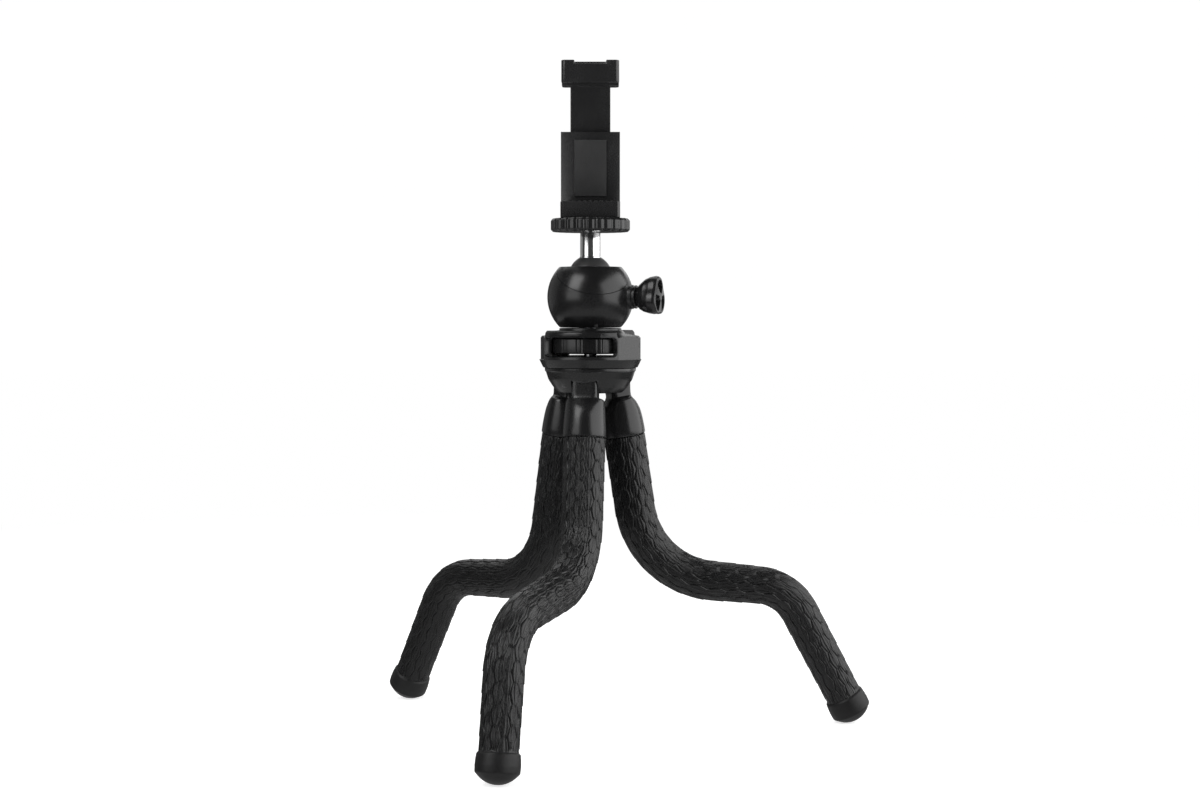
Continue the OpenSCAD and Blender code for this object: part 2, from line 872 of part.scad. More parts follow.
module clip_screws() {
  color("silver")
    clip_screw_places() {
      translate([0, 0, -clip_screw_len])
        cylinder(h = clip_screw_len + 0.2, r = clip_screw_r);
      cylinder(h = 1.1, r = 1.8);
    }
}

module clip_springs() {
  pitch = spring_wire * 0.9;
  turns = floor((spring_high - spring_low) / pitch);
  color("silver")
    for (x = [-spring_x, spring_x])
      translate([x, spring_y, spring_low])
        rotate_extrude()
          for (k = [0 : 4 : turns]) {
            translate([spring_d / 2 - spring_wire / 2, k * pitch])
              circle(d = spring_wire);
            translate([spring_d / 2 - spring_wire * 0.8, k * pitch])
              square([spring_wire * 0.6, min(4, turns - k) * pitch]);
          }
}

module clip_slider() {
  h = jaw_w / 2;
  color("#232426")
    difference() {
      union() {
        translate([0, 0, jaw_z - jaw_lip_down])
          linear_extrude(height = jaw_t + jaw_lip_down)
            jaw_plan(jaw_w);
        translate([-slider_half, tongue_y, tongue_low])
          cube([2 * slider_half, slider_t, jaw_z - tongue_low]);
      }
      translate([-h - 1, lip_t - clip_front, jaw_z - jaw_lip_down - 1])
        cube([jaw_w + 2, clip_front - lip_t + plate_y, jaw_lip_down + 1]);
      translate([-7.75, -clip_front - 1, jaw_top - 1.8])
        cube([15.5, 9, 3]);
      for (x = [-spring_x, spring_x])
        translate([x - spring_d / 2 - 0.3, tongue_y + 1.2, tongue_low - 1])
          cube([spring_d + 0.6, slider_t, spring_high + 0.4 - tongue_low + 1]);
    }
}

module clip_upper_pad() {
  color("#141516")
    jaw_pad(jaw_pad_half, jaw_z, -1, jaw_lip_down - 0.3);
}

hub_bowl();
crown();
hinge_pins();
thumbwheel();
thumbwheel_screw();
head_lower_shell();
head_upper_shell();
shell_screws();
ball_seat();
clamp_shoe();
knob_collar();
lock_knob();
lock_screw();
ball();
ball_stem();
stud();
lock_wheel();
clip_base();
clip_insert();
clip_lower_pad();
clip_back_pad();
clip_cover();
clip_screws();
clip_springs();
clip_slider();
clip_upper_pad();
socket(0);  // leg_a_socket
sleeve_1(0);  // leg_a_sleeve_1
sleeve_2(0);  // leg_a_sleeve_2
sleeve_3(0);  // leg_a_sleeve_3
sleeve_4(0);  // leg_a_sleeve_4
core_1(0);  // leg_a_core_1
core_2(0);  // leg_a_core_2
core_3(0);  // leg_a_core_3
core_4(0);  // leg_a_core_4
foot(0);  // leg_a_foot
socket(1);  // leg_b_socket
sleeve_1(1);  // leg_b_sleeve_1
sleeve_2(1);  // leg_b_sleeve_2
sleeve_3(1);  // leg_b_sleeve_3
sleeve_4(1);  // leg_b_sleeve_4
core_1(1);  // leg_b_core_1
core_2(1);  // leg_b_core_2
core_3(1);  // leg_b_core_3
core_4(1);  // leg_b_core_4
foot(1);  // leg_b_foot
socket(2);  // leg_c_socket
sleeve_1(2);  // leg_c_sleeve_1
sleeve_2(2);  // leg_c_sleeve_2
sleeve_3(2);  // leg_c_sleeve_3
sleeve_4(2);  // leg_c_sleeve_4
core_1(2);  // leg_c_core_1
core_2(2);  // leg_c_core_2
core_3(2);  // leg_c_core_3
core_4(2);  // leg_c_core_4
foot(2);  // leg_c_foot
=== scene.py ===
# %% [markdown]
# # Dressing a flexible leg tripod
# The solids of the tripod come from CAD and are the fixed frame. This lesson puts the looks
# over them: moulded black plastic, scaled rubber sleeves, a polished stem, and studio light.
# Everything is in metres, with the ground at Z = 0 and the viewer on the -Y side.

import math

import bmesh
import bpy
import numpy as np
from mathutils import Matrix, Vector


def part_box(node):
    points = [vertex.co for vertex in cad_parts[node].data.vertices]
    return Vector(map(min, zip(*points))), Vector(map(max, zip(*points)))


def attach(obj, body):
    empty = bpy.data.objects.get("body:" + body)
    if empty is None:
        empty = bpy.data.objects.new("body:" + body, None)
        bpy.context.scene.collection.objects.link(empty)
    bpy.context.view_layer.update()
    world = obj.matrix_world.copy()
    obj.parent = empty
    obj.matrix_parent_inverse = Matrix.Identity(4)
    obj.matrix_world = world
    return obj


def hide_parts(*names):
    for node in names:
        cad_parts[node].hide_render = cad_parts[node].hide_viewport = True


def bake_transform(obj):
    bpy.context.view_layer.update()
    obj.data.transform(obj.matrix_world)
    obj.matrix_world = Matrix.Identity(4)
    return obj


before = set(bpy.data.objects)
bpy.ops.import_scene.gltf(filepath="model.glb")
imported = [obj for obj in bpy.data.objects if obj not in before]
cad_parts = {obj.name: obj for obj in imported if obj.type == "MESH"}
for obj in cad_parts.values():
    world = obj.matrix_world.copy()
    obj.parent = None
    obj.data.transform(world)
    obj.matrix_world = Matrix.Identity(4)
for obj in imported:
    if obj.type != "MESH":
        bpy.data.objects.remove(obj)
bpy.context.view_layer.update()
MM = 0.001


def into_scene(name, data):
    made = bpy.data.objects.new(name, data)
    bpy.context.scene.collection.objects.link(made)
    return made


# %% [markdown]
# ## Camera
# The picture was taken almost level, from a little over a metre away, with a moderately long
# lens. A long lens keeps the three legs from looking stretched, so the distance and the lens
# are set together: 61.5 mm on a 36 mm wide sensor, looking down by 2.62 degrees.

# %% Camera
FOCAL, SENSOR, LOOK_DOWN = 61.5, 36, 2.62
CAMERA_PLACE = (0.0048, -1.025, 0.2134)
lens = bpy.data.cameras.new("studio_lens")
lens.lens, lens.sensor_width, lens.sensor_fit = FOCAL, SENSOR, "HORIZONTAL"
camera = into_scene("studio_camera", lens)
camera.location = CAMERA_PLACE
camera.rotation_euler = (math.radians(90 - LOOK_DOWN), 0, 0)
bpy.context.scene.camera = camera
print("camera at", tuple(round(x, 3) for x in camera.location))

# %% [markdown]
# ## Shader maths as Python
# A finish is a small network of nodes. Writing it as expressions keeps it readable, so one
# class holds a socket: adding or multiplying two of them adds a Math node, and `node` adds any
# other kind. Settings go in first, because they can change which sockets a node has.


# %% A socket that does sums
class Wire:
    """One output socket of a material's node network."""

    def __init__(self, tree, socket=None):
        self.tree, self.socket = tree, socket

    def node(self, kind, settings=None, inputs=None, out=0):
        made = self.tree.nodes.new("ShaderNode" + kind)
        for key, value in (settings or {}).items():
            setattr(made, key, value)
        for key, value in (inputs or {}).items():
            if isinstance(value, Wire):
                self.tree.links.new(value.socket, made.inputs[key])
            else:
                made.inputs[key].default_value = value
        return Wire(self.tree, made.outputs[out] if made.outputs else None)

    def sum(self, operation, first, second):
        return self.node("Math", {"operation": operation}, {0: first, 1: second})

    def __add__(self, other):
        return self.sum("ADD", self, other)

    def __sub__(self, other):
        return self.sum("SUBTRACT", self, other)

    def __rsub__(self, other):
        return self.sum("SUBTRACT", other, self)

    def __mul__(self, other):
        return self.sum("MULTIPLY", self, other)

    __radd__, __rmul__ = __add__, __mul__


print("wires ready")

# %% [markdown]
# ## What every finish shares
# A real moulded surface is never one flat number: it has a fine grain from the mould, and broad
# patches that are a little shinier where hands touch it. Its sharp edges are painted a shade
# lighter, a painted highlight for the light that rounded edges catch. The first helper starts a
# material and hands back a wire, and the second closes it with the shader. Plain numbers go
# straight on the shader's own sockets.


# %% Start and close a finish
def start_finish(name):
    finish = bpy.data.materials.new(name)
    finish.use_nodes = True
    finish.node_tree.nodes.clear()
    return finish, Wire(finish.node_tree)


def close_finish(wire, inputs):
    shader = wire.node("BsdfPrincipled", None, inputs)
    wire.node("OutputMaterial", None, {"Surface": shader})


def noise(wire, scale, detail=3.0, stretch=(1, 1, 1)):
    place = wire.node("TexCoord", out="Object")
    if stretch != (1, 1, 1):
        place = wire.node("Mapping", None, {"Vector": place, "Scale": stretch})
    return wire.node("TexNoise", None, {"Vector": place, "Scale": scale, "Detail": detail})


def shade_mix(wire, factor, dark, light):
    """Colour between two others, each given as red, green and blue or as a wire."""
    dark, light = (c if isinstance(c, Wire) else (*c, 1) for c in (dark, light))
    return wire.node("Mix", {"data_type": "RGBA"}, {0: factor, 6: dark, 7: light}, out=2)


def bump(wire, height, strength, distance):
    inputs = {"Height": height, "Strength": strength, "Distance": distance}
    return wire.node("Bump", None, inputs)


def between(wire, value, low, high):
    inputs = {"Value": value, "From Min": low, "From Max": high}
    return wire.node("MapRange", None, inputs)


print("finish helpers ready")

# %% [markdown]
# ## Moulded black plastic
# The hub, the ball head and the clip are glass filled nylon from polished moulds: near black,
# satin, with a very fine sparkle of grain. A low noise changes the gloss in broad patches, a
# fine one makes the grain, and sharp edges are painted a shade lighter, a painted highlight for
# the light they catch. There are five versions: for the hub and head, for grips, for the clip,
# for the wheel and for the ball. The painted highlight is read from how sharply the mesh turns,
# which goes wrong on the clip's long triangles, so the clip has none.

# %% Moulded plastic
# Painted highlight on sharp edges: its colour, and the pointiness where it begins and where it is
# full.
PAINTED_EDGE_HIGHLIGHT, EDGE_HIGHLIGHT_FROM, EDGE_HIGHLIGHT_FULL = (0.09, 0.09, 0.092), 0.53, 0.62


def moulded_plastic(name, dark, light, rough, grain, edge_highlight=0.35):
    finish, wire = start_finish(name)
    patches = noise(wire, 60, 2)
    fine = noise(wire, 2600, 2)
    tone = between(wire, patches * 0.6 + fine * 0.4, 0.35, 0.65)
    colour = shade_mix(wire, tone, dark, light)
    # Sharp edges get a painted highlight: where the mesh turns sharply, a lighter colour is mixed
    # in.
    if edge_highlight:
        edge = wire.node("NewGeometry", out="Pointiness")
        painted_highlight_share = between(wire, edge, EDGE_HIGHLIGHT_FROM, EDGE_HIGHLIGHT_FULL) * edge_highlight
        colour = shade_mix(wire, painted_highlight_share, colour, PAINTED_EDGE_HIGHLIGHT)
    close_finish(wire, {
        "Base Color": colour,
        "Roughness": patches * 0.10 + fine * 0.05 + (rough - 0.075),
        "Normal": bump(wire, fine, grain, 0.0001),
        "IOR": 1.5,
    })
    return finish


plastics = [moulded_plastic(*numbers) for numbers in (
    ("satin_black", (0.006, 0.006, 0.0062), (0.009, 0.009, 0.0093), 0.26, 0.10),
    ("grip_black", (0.006, 0.006, 0.0062), (0.010, 0.010, 0.0103), 0.26, 0.12),
    ("clip_black", (0.011, 0.011, 0.0113), (0.015, 0.015, 0.0154), 0.26, 0.10, 0),
    ("wheel_black", (0.006, 0.006, 0.0062), (0.010, 0.010, 0.0103), 0.19, 0.06),
    ("ball_black", (0.022, 0.022, 0.0225), (0.034, 0.034, 0.0347), 0.48, 0.12))]
satin_black, grip_black, clip_black, wheel_black, ball_black = plastics
print("plastics:", [finish.name for finish in plastics])

# %% [markdown]
# ## Rubber
# The sleeves are soft rubber moulded over a wire, with a silky shine from the mould. The high
# spots of the scales are smoother, their colour is a shade lighter than in the grooves, and long
# streaks run down the leg. Both are read from the mesh: the attribute `relief` holds the height
# of the scales, and `skin` holds a place on the sleeve, shortened along the leg so that a plain
# noise comes out stretched. Feet and pads are duller, with patches in place of streaks.


# %% Rubber
def rubber(name, groove, crest, rough, shine, scaled=False):
    finish, wire = start_finish(name)
    patches = noise(wire, 45, 3)
    fine = noise(wire, 1500, 3)
    high = streaks = patches
    if scaled:
        high = wire.node("Attribute", {"attribute_name": "relief"}, out="Fac")
        skin = wire.node("Attribute", {"attribute_name": "skin"}, out="Vector")
        streaks = wire.node("TexNoise", None, {
            "Vector": skin, "Scale": 0.75, "Detail": 4.0, "Roughness": 0.6})
    tone = between(wire, high * 0.45 + streaks * 0.8 + fine * 0.2, 0.35, 1.15)
    close_finish(wire, {
        "Base Color": shade_mix(wire, tone, groove, crest),
        "Roughness": (rough + 0.04) - high * 0.06 + fine * 0.06,
        "Normal": bump(wire, streaks * 0.9 + fine * 0.1, 0.6, 0.0011),
        "Specular IOR Level": shine,
    })
    return finish


rubbers = [rubber(*numbers) for numbers in (
    ("sleeve_rubber", (0.002, 0.002, 0.0021), (0.007, 0.007, 0.0073), 0.24, 0.42, True),
    ("foot_rubber", (0.005, 0.005, 0.0052), (0.009, 0.009, 0.0093), 0.43, 0.34),
    ("pad_rubber", (0.010, 0.010, 0.0103), (0.018, 0.018, 0.0185), 0.60, 0.5))]
sleeve_rubber, foot_rubber, pad_rubber = rubbers
print("rubbers:", [finish.name for finish in rubbers])

# %% [markdown]
# ## Metals and nylon
# The stem is turned steel with bright chrome, so it is a mirror with faint turning rings. The
# hidden screws, pins and springs are zinc plated, the insert and the shoe are brass, the wire in
# the legs is aluminium, and the ball sits in a white nylon seat.


# %% Metals
def metal(name, dark, light, rough, stretch, rings):
    finish, wire = start_finish(name)
    lines = noise(wire, 900, 2, stretch)
    patches = noise(wire, 120, 2)
    close_finish(wire, {
        "Base Color": shade_mix(wire, patches, dark, light),
        "Metallic": 1.0,
        "Roughness": lines * 0.06 + patches * 0.05 + rough,
        "Normal": bump(wire, lines, rings, 0.00005),
    })
    return finish


metals = [metal(*numbers) for numbers in (
    ("chrome", (0.80, 0.80, 0.81), (0.90, 0.90, 0.90), 0.07, (0.2, 0.2, 3.0), 0.08),
    ("zinc_plate", (0.50, 0.51, 0.53), (0.66, 0.66, 0.66), 0.26, (1, 1, 1), 0.2),
    ("brass", (0.60, 0.42, 0.17), (0.72, 0.53, 0.25), 0.24, (1, 1, 3), 0.2),
    ("aluminium_wire", (0.60, 0.60, 0.61), (0.74, 0.74, 0.75), 0.34, (1, 1, 1), 0.2))]
chrome, zinc, brass, aluminium = metals
print("metals:", [finish.name for finish in metals])

# %% Nylon
nylon, wire = start_finish("white_nylon")
cloudy = noise(wire, 300, 3)
close_finish(wire, {
    "Base Color": shade_mix(wire, cloudy, (0.66, 0.64, 0.58), (0.76, 0.74, 0.69)),
    "Roughness": cloudy * 0.15 + 0.35,
    "Normal": bump(wire, cloudy, 0.1, 0.0001),
})
print("nylon:", nylon.name)

# %% [markdown]
# ## Mesh helpers
# Nearly every hard piece here is turned about an axis, so the main helper revolves an outline
# of (radius, height) points. Real moulded corners are round, and `rounded` swaps each corner of
# an outline for a short arc. A warp can change the radius with the angle, which gives flats,
# ribs and lobes without cutting. Lengths in outlines are in millimetres.

# %% Outlines
NEARLY_STRAIGHT, NUDGE, MOST_OF_SIDE = -0.999, 0.1, 0.49


def rounded(corners, steps=4):
    """Points of an outline whose third number, where given, is the corner's radius."""
    made, parts = [], np.linspace(0, 1, steps + 1)
    for k, corner in enumerate(corners):
        here = np.array(corner[:2], float)
        radius = corner[2] if len(corner) > 2 else 0
        if not radius or k in (0, len(corners) - 1):
            made.append(here)
            continue
        back = np.array(corners[k - 1][:2], float) - here
        on = np.array(corners[k + 1][:2], float) - here
        far = min(np.linalg.norm(back), np.linalg.norm(on)) * MOST_OF_SIDE
        back, on = back / np.linalg.norm(back), on / np.linalg.norm(on)
        if back @ on < NEARLY_STRAIGHT:
            made += [here + back * NUDGE * (1 - t) + on * NUDGE * t for t in parts]
            continue
        half = math.acos(np.clip(back @ on, -1, 1)) / 2
        reach = min(radius / math.tan(half), far)
        centre = here + (back + on) / np.linalg.norm(back + on) * reach / math.cos(half)
        a, b = here + back * reach - centre, here + on * reach - centre
        whole = math.acos(np.clip(a @ b / (a @ a), -1, 1))
        for t in parts:
            swung = math.sin((1 - t) * whole) * a + math.sin(t * whole) * b
            made.append(centre + swung / math.sin(whole))
    return np.array(made)


def arc_points(radius, height, start, end, count):
    """Points of an arc about a place on the axis, between two angles in degrees."""
    angles = np.radians(np.linspace(start, end, count))
    return [(radius * math.cos(t), height + radius * math.sin(t)) for t in angles]


print("outline helpers ready")

# %% [markdown]
# Rings of points are joined by four sided faces. Each new mesh is tidied: doubled points are
# joined, faces turn outward, and edges that turn by more than a limit stay sharp.

# %% Turning
SAME_PLACE = 1e-6


def new_piece(name, points, faces):
    mesh = bpy.data.meshes.new(name)
    mesh.from_pydata([tuple(p) for p in points], [], faces)
    return into_scene(name, mesh)


def grid_faces(rows, n, first=0, closed=False):
    """Four sided faces between rings of n points each, numbered from first on."""
    faces = []
    for i in range(rows if closed else rows - 1):
        a, b = first + i * n, first + (i + 1) % rows * n
        faces += [(a + j, a + (j + 1) % n, b + (j + 1) % n, b + j) for j in range(n)]
    return faces


def tidy(piece, limit=35):
    work = bmesh.new()
    work.from_mesh(piece.data)
    bmesh.ops.remove_doubles(work, verts=work.verts, dist=SAME_PLACE)
    bmesh.ops.dissolve_degenerate(work, edges=work.edges, dist=SAME_PLACE)
    bmesh.ops.recalc_face_normals(work, faces=work.faces)
    for face in work.faces:
        face.smooth = True
    for edge in work.edges:
        edge.smooth = len(edge.link_faces) == 2 and edge.calc_face_angle(0) < math.radians(limit)
    work.to_mesh(piece.data)
    work.free()
    return piece


def turned(name, outline, steps=96, warp=None, closed=False):
    """Revolves (radius, height) points about Z. The warp gets radius, height and angle."""
    outline = np.array(outline, float)
    angle = np.linspace(0, 2 * math.pi, steps, endpoint=False)[None, :]
    r, z = np.repeat(outline[:, :1], steps, 1), np.repeat(outline[:, 1:2], steps, 1)
    if warp:
        r, z = warp(r, z, angle)
    points = np.stack([r * np.cos(angle), r * np.sin(angle), z], -1).reshape(-1, 3) * MM
    return tidy(new_piece(name, points, grid_faces(len(outline), steps, closed=closed)))


print("turning helpers ready")

# %% [markdown]
# Slots and windows are cut with the exact Boolean solver, and the new corners are eased with a
# narrow bevel. Prisms give the cutters and the flat sided pieces.


# %% Cutting and easing
def settle(piece):
    """Replaces the mesh by what its modifiers make of it."""
    seen = piece.evaluated_get(bpy.context.evaluated_depsgraph_get())
    piece.data = bpy.data.meshes.new_from_object(seen)
    piece.modifiers.clear()
    return piece


def cut(piece, tools, how="DIFFERENCE"):
    for tool in tools:
        step = piece.modifiers.new("cut", "BOOLEAN")
        step.operation, step.object, step.solver = how, tool, "EXACT"
    settle(piece)
    for tool in tools:
        bpy.data.objects.remove(tool)
    return tidy(piece)


def eased(piece, width, limit=40, segments=2):
    step = piece.modifiers.new("ease", "BEVEL")
    step.width, step.segments, step.limit_method = width * MM, segments, "ANGLE"
    step.angle_limit = math.radians(limit)
    step.use_clamp_overlap = True
    return tidy(settle(piece))


def prism(name, outline, low, high):
    """Straight block over an (x, y) outline, from one height to another."""
    n = len(outline)
    points = [(x * MM, y * MM, z * MM) for z in (low, high) for x, y in outline]
    ends = [tuple(range(n))[::-1], tuple(range(n, 2 * n))]
    return tidy(new_piece(name, points, ends + grid_faces(2, n)))


def box(name, low, high):
    (x0, y0, z0), (x1, y1, z1) = low, high
    return prism(name, [(x0, y0), (x1, y0), (x1, y1), (x0, y1)], z0, z1)


print("cutting helpers ready")

# %% [markdown]
# The last helpers move a piece to its place, and give it a finish, the body that it rides on and
# the solids that it stands for.


# %% Placing and dressing
def placed(piece, matrix):
    piece.data.transform(matrix)
    return piece


def spin(degrees, axis="Z"):
    return Matrix.Rotation(math.radians(degrees), 4, axis)


def shift(x, y, z):
    return Matrix.Translation((x * MM, y * MM, z * MM))


def dressed(piece, finish, body, *nodes):
    piece.data.materials.clear()
    piece.data.materials.append(finish)
    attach(piece, body)
    if nodes:
        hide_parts(*nodes)
    return piece


print("dressing helpers ready")

# %% [markdown]
# ## Sizes shared with the solids
# These repeat the named values of the CAD source, in millimetres, so that each piece lands on
# the solid it stands for. Heights are above the ground. The places of the knob's axis and of
# the three leg hinges are kept as well, because several pieces sit on them.

# %% Sizes
HUB_TURN = 21
LEG_TURN = {"a": HUB_TURN, "b": HUB_TURN - 120, "c": HUB_TURN + 120}
PIVOT_R, PIVOT_Z, SPLAY = 14.0, 175.0, 9.0
RIM_Z, BOWL_Z, PLATEAU_Z = 182.8, 171.5, 188.6
CROWN_R, CROWN_TOP, BOSS_TOP = 25.6, 201.4, 202.5
WINDOW_Z, WINDOW_TOP = 188.3, 198.0
HOUSE_R, HOUSE_Z, HOUSE_LOW, HOUSE_TOP = 21.5, 218.0, 202.8, 233.0
BALL_R, BALL_Z = 11.0, 228.0
KNOB_TURN = -17
WHEEL_R, WHEEL_Z, WHEEL_TOP = 19.75, 250.23, 257.03
ON_KNOB = shift(0, 0, HOUSE_Z) @ spin(KNOB_TURN) @ spin(90, "Y")
ON_PIVOT = {leg: spin(turn) @ shift(PIVOT_R, 0, PIVOT_Z) for leg, turn in LEG_TURN.items()}
print("bowl, crown and head heights:", BOWL_Z, RIM_Z, CROWN_TOP, HOUSE_TOP)

# %% [markdown]
# ## Hub bowl
# The bowl under the crown carries the three leg hinges. Its wall is one smooth curve, so the
# outline runs through a soft arc, and the arched slots are cut where each tongue swings.

# %% Hub bowl
SLOT_R, SLOT_OUT, SLOT_DROP, SLOT_HALF, SCREW_HOLE = 6.2, 22.4, 11.3, 6.55, 3.24
ARCH_FROM, ARCH_FOOT, ARCH_STEPS = 0.15, 0.92, 33
bowl_outline = rounded([
    (0, BOWL_Z), (10.0, BOWL_Z - 0.3), (16.0, BOWL_Z - 1.2, 1.2), (18.6, BOWL_Z + 1.7, 4),
    (21.0, BOWL_Z + 5.4, 8), (22.3, RIM_Z - 1.9, 0.3), (22.75, RIM_Z - 1.6, 0.25),
    (22.85, RIM_Z - 0.2, 0.3), (22.4, RIM_Z), (21.6, RIM_Z), (21.6, PLATEAU_Z - 0.3, 0.3),
    (21.3, PLATEAU_Z), (SCREW_HOLE, PLATEAU_Z), (SCREW_HOLE, RIM_Z - 2), (0, RIM_Z - 2)], 6)
bowl = turned("hub_bowl_look", bowl_outline, 144)
tools = []
for onto in ON_PIVOT.values():
    turns = np.linspace(ARCH_FROM, math.pi, ARCH_STEPS)
    arch = [(SLOT_R * math.cos(t), SLOT_R * math.sin(t)) for t in turns]
    foot_corners = [(-SLOT_R, -SLOT_DROP), (SLOT_OUT, -SLOT_DROP)]
    slot = prism("slot", [(SLOT_OUT, ARCH_FOOT)] + arch + foot_corners, -SLOT_HALF, SLOT_HALF)
    tools.append(placed(eased(slot, 2.0, 60, 5), onto @ spin(90, "X")))
bowl = eased(cut(bowl, tools), 0.6, 50, 3)
dressed(bowl, satin_black, "hub", "hub_bowl")
print("bowl faces:", len(bowl.data.polygons))

# %% [markdown]
# ## Crown
# The crown is a ring with a wide window at the front and one at the back, where the thumbwheel
# shows. Two flat faces lie on each side, like four sides of an octagon, and the top drops to a
# ledge there. So two outlines are turned at once: one for the raised brows over the windows and
# one for the ledges, and the angle picks between them.

# %% Crown outline
WINDOW_TURN, WINDOW_HALF, BROW_HALF, BROW_RUN = -105.0, 46.5, 46.6, 0.9
SIDE_FLAT, FLAT_HALF, FLAT_NEAR, FLAT_TURNS = 24.1, 0.392, 0.55, (67.5, 112.5, 247.5, 292.5)
LEDGE_Z, WALL_R, WALL_FOOT = 198.6, 22.5, 186.98
boss = [(3.7, BOSS_TOP), (15.5, BOSS_TOP, 0.4), (15.5, CROWN_TOP)]
wall = [(CROWN_R, 192.5), (CROWN_R, 187.1), (CROWN_R, 187.0), (25.5, 186.8, 0.2),
        (25.3, 186.4, 0.4), (23.6, RIM_Z + 0.1, 0.5), (21.7, RIM_Z + 0.1),
        (21.7, WINDOW_TOP), (3.7, WINDOW_TOP)]
ledge = [(16.4, CROWN_TOP, 0.3), (17.6, 199.9, 0.8), (24.4, LEDGE_Z, 0.5), (CROWN_R, 197.7, 0.4)]
brow = [(16.4, CROWN_TOP, 0.1), (20.0, CROWN_TOP, 0.8), (24.6, CROWN_TOP, 0.9),
        (CROWN_R, 200.2, 0.9)]
ledge_outline, brow_outline = (rounded(boss + top + wall, 4) for top in (ledge, brow))


def crown_sides(r, z, angle):
    turn = np.angle(np.exp(2j * (angle - math.radians(WINDOW_TURN)))) / 2
    share = np.clip((math.radians(BROW_HALF) - np.abs(turn)) / math.radians(BROW_RUN), 0, 1)
    r = r + share * (brow_outline[:, :1] - r)
    z = z + share * (brow_outline[:, 1:] - z)
    side = (r > WALL_R) & (z > WALL_FOOT)
    for flat_turn in FLAT_TURNS:
        off = np.angle(np.exp(1j * (angle - math.radians(WINDOW_TURN + flat_turn))))
        flat = SIDE_FLAT / np.cos(np.clip(off, -FLAT_NEAR, FLAT_NEAR))
        r = np.where(side & (np.abs(off) < FLAT_HALF), np.minimum(r, flat), r)
    return r, z


crown = turned("crown_look", ledge_outline, 400, crown_sides, closed=True)
print("crown before its windows:", len(crown.data.polygons), "faces")

# %% [markdown]
# The windows are cut with a block that is bent round the axis, so its sides point at the axis.
# Its corners are round as seen from there.

# %% Crown windows
WINDOW_CORNER, WINDOW_MID, WINDOW_REACH = 2.2, 193, (16, 30)


def window_block(turn):
    half, r = math.radians(WINDOW_HALF) * CROWN_R, WINDOW_CORNER
    low = [(x, WINDOW_Z) for x in range(-15, 16, 5)]
    high = [(x, WINDOW_TOP) for x in range(15, -16, -5)]
    corners = low[3:] + [(half, WINDOW_Z, r), (half, WINDOW_TOP, r)] + high
    corners += [(-half, WINDOW_TOP, r), (-half, WINDOW_Z, r)] + low[:4]
    start = math.radians(WINDOW_TURN + turn)
    ring = [(start + x / CROWN_R, z) for x, z in rounded(corners, 6)[:-1]]
    n = len(ring)
    spots = [(r, *spot) for r in WINDOW_REACH for spot in ring]
    spots += [(r, ring[0][0], WINDOW_MID) for r in WINDOW_REACH]
    points = [(r * MM * math.cos(a), r * MM * math.sin(a), z * MM) for r, a, z in spots]
    faces = grid_faces(2, n) + [((k + 1) % n, k, 2 * n) for k in range(n)]
    faces += [(n + k, n + (k + 1) % n, 2 * n + 1) for k in range(n)]
    return tidy(new_piece("window", points, faces))


crown = eased(cut(crown, [window_block(0), window_block(180)]), 0.3)
dressed(crown, satin_black, "hub", "crown")
print("crown faces:", len(crown.data.polygons))

# %% [markdown]
# ## Thumbwheel
# It turns the screw that holds the ball head. Thirteen raised ribs give it grip, one of them in
# the middle of the window, and a narrow gap is left under it, through which daylight shows.

# %% Thumbwheel
THUMB_RIBS, RIB_RISE, RIB_HALF = 13, 0.7, 1.75
THUMB_R, THUMB_WALL, THUMB_LOW, THUMB_TOP = 21.3, 18, 189.85, 197.7


def thumb_ribs(r, z, angle):
    turn = THUMB_RIBS * (angle - math.radians(WINDOW_TURN))
    off = np.angle(np.exp(1j * turn)) / THUMB_RIBS * (THUMB_R - RIB_RISE)
    rise = RIB_RISE * np.clip((RIB_HALF - np.abs(off)) / RIB_RISE, 0, 1)
    return np.where(r > THUMB_WALL, r - RIB_RISE + rise, r), z


thumb_outline = rounded([
    (5.1, THUMB_LOW), (20.7, THUMB_LOW, 0.4), (THUMB_R, 190.4, 0.4), (THUMB_R, 197.1, 0.4),
    (20.7, THUMB_TOP, 0.5), (17.3, THUMB_TOP), (17.3, 195.3), (8.1, 195.3), (8.1, THUMB_TOP),
    (5.1, THUMB_TOP)], 3)
thumb = turned("thumbwheel_look", thumb_outline, THUMB_RIBS * 24, thumb_ribs, closed=True)
dressed(thumb, grip_black, "thumbwheel", "thumbwheel")
print("thumbwheel ribs:", THUMB_RIBS)

# %% [markdown]
# ## Ball head housing
# A ball cut flat at both ends, with a pocket for the ball and a bore for the lock screw. The
# whole body is turned once.

# %% Housing body
SCREW_R, SCREW_DEPTH, BORE_R, BORE_LEN, SEAT_Z, BALL_ROOM = 3.25, 8.5, 3.6, 30, 213, 0.3
arc = arc_points(HOUSE_R, HOUSE_Z, -44.2, 42.6, 60)
pocket = arc_points(BALL_R + BALL_ROOM, BALL_Z, 25, -36.8, 16)
base = [(0, HOUSE_LOW + SCREW_DEPTH), (SCREW_R, HOUSE_LOW + SCREW_DEPTH), (SCREW_R, HOUSE_LOW),
        (14.9, HOUSE_LOW, 0.35)]
rim = [(15.45, HOUSE_TOP, 1.1), (10.5, HOUSE_TOP, 0.4)]
shell_outline = np.vstack([
    rounded(base + arc[:1], 3)[:-1], arc,
    rounded(arc[-1:] + rim + pocket[:1], 5)[1:-1], pocket, [(9.05, SEAT_Z), (0, SEAT_Z)]])
body = turned("head_lower_shell_look", shell_outline, 160)
bore = turned("bore", [(0, 0), (BORE_R, 0), (BORE_R, BORE_LEN), (0, BORE_LEN)], 32)
body = cut(body, [placed(bore, ON_KNOB)])
print("housing body faces:", len(body.data.polygons))

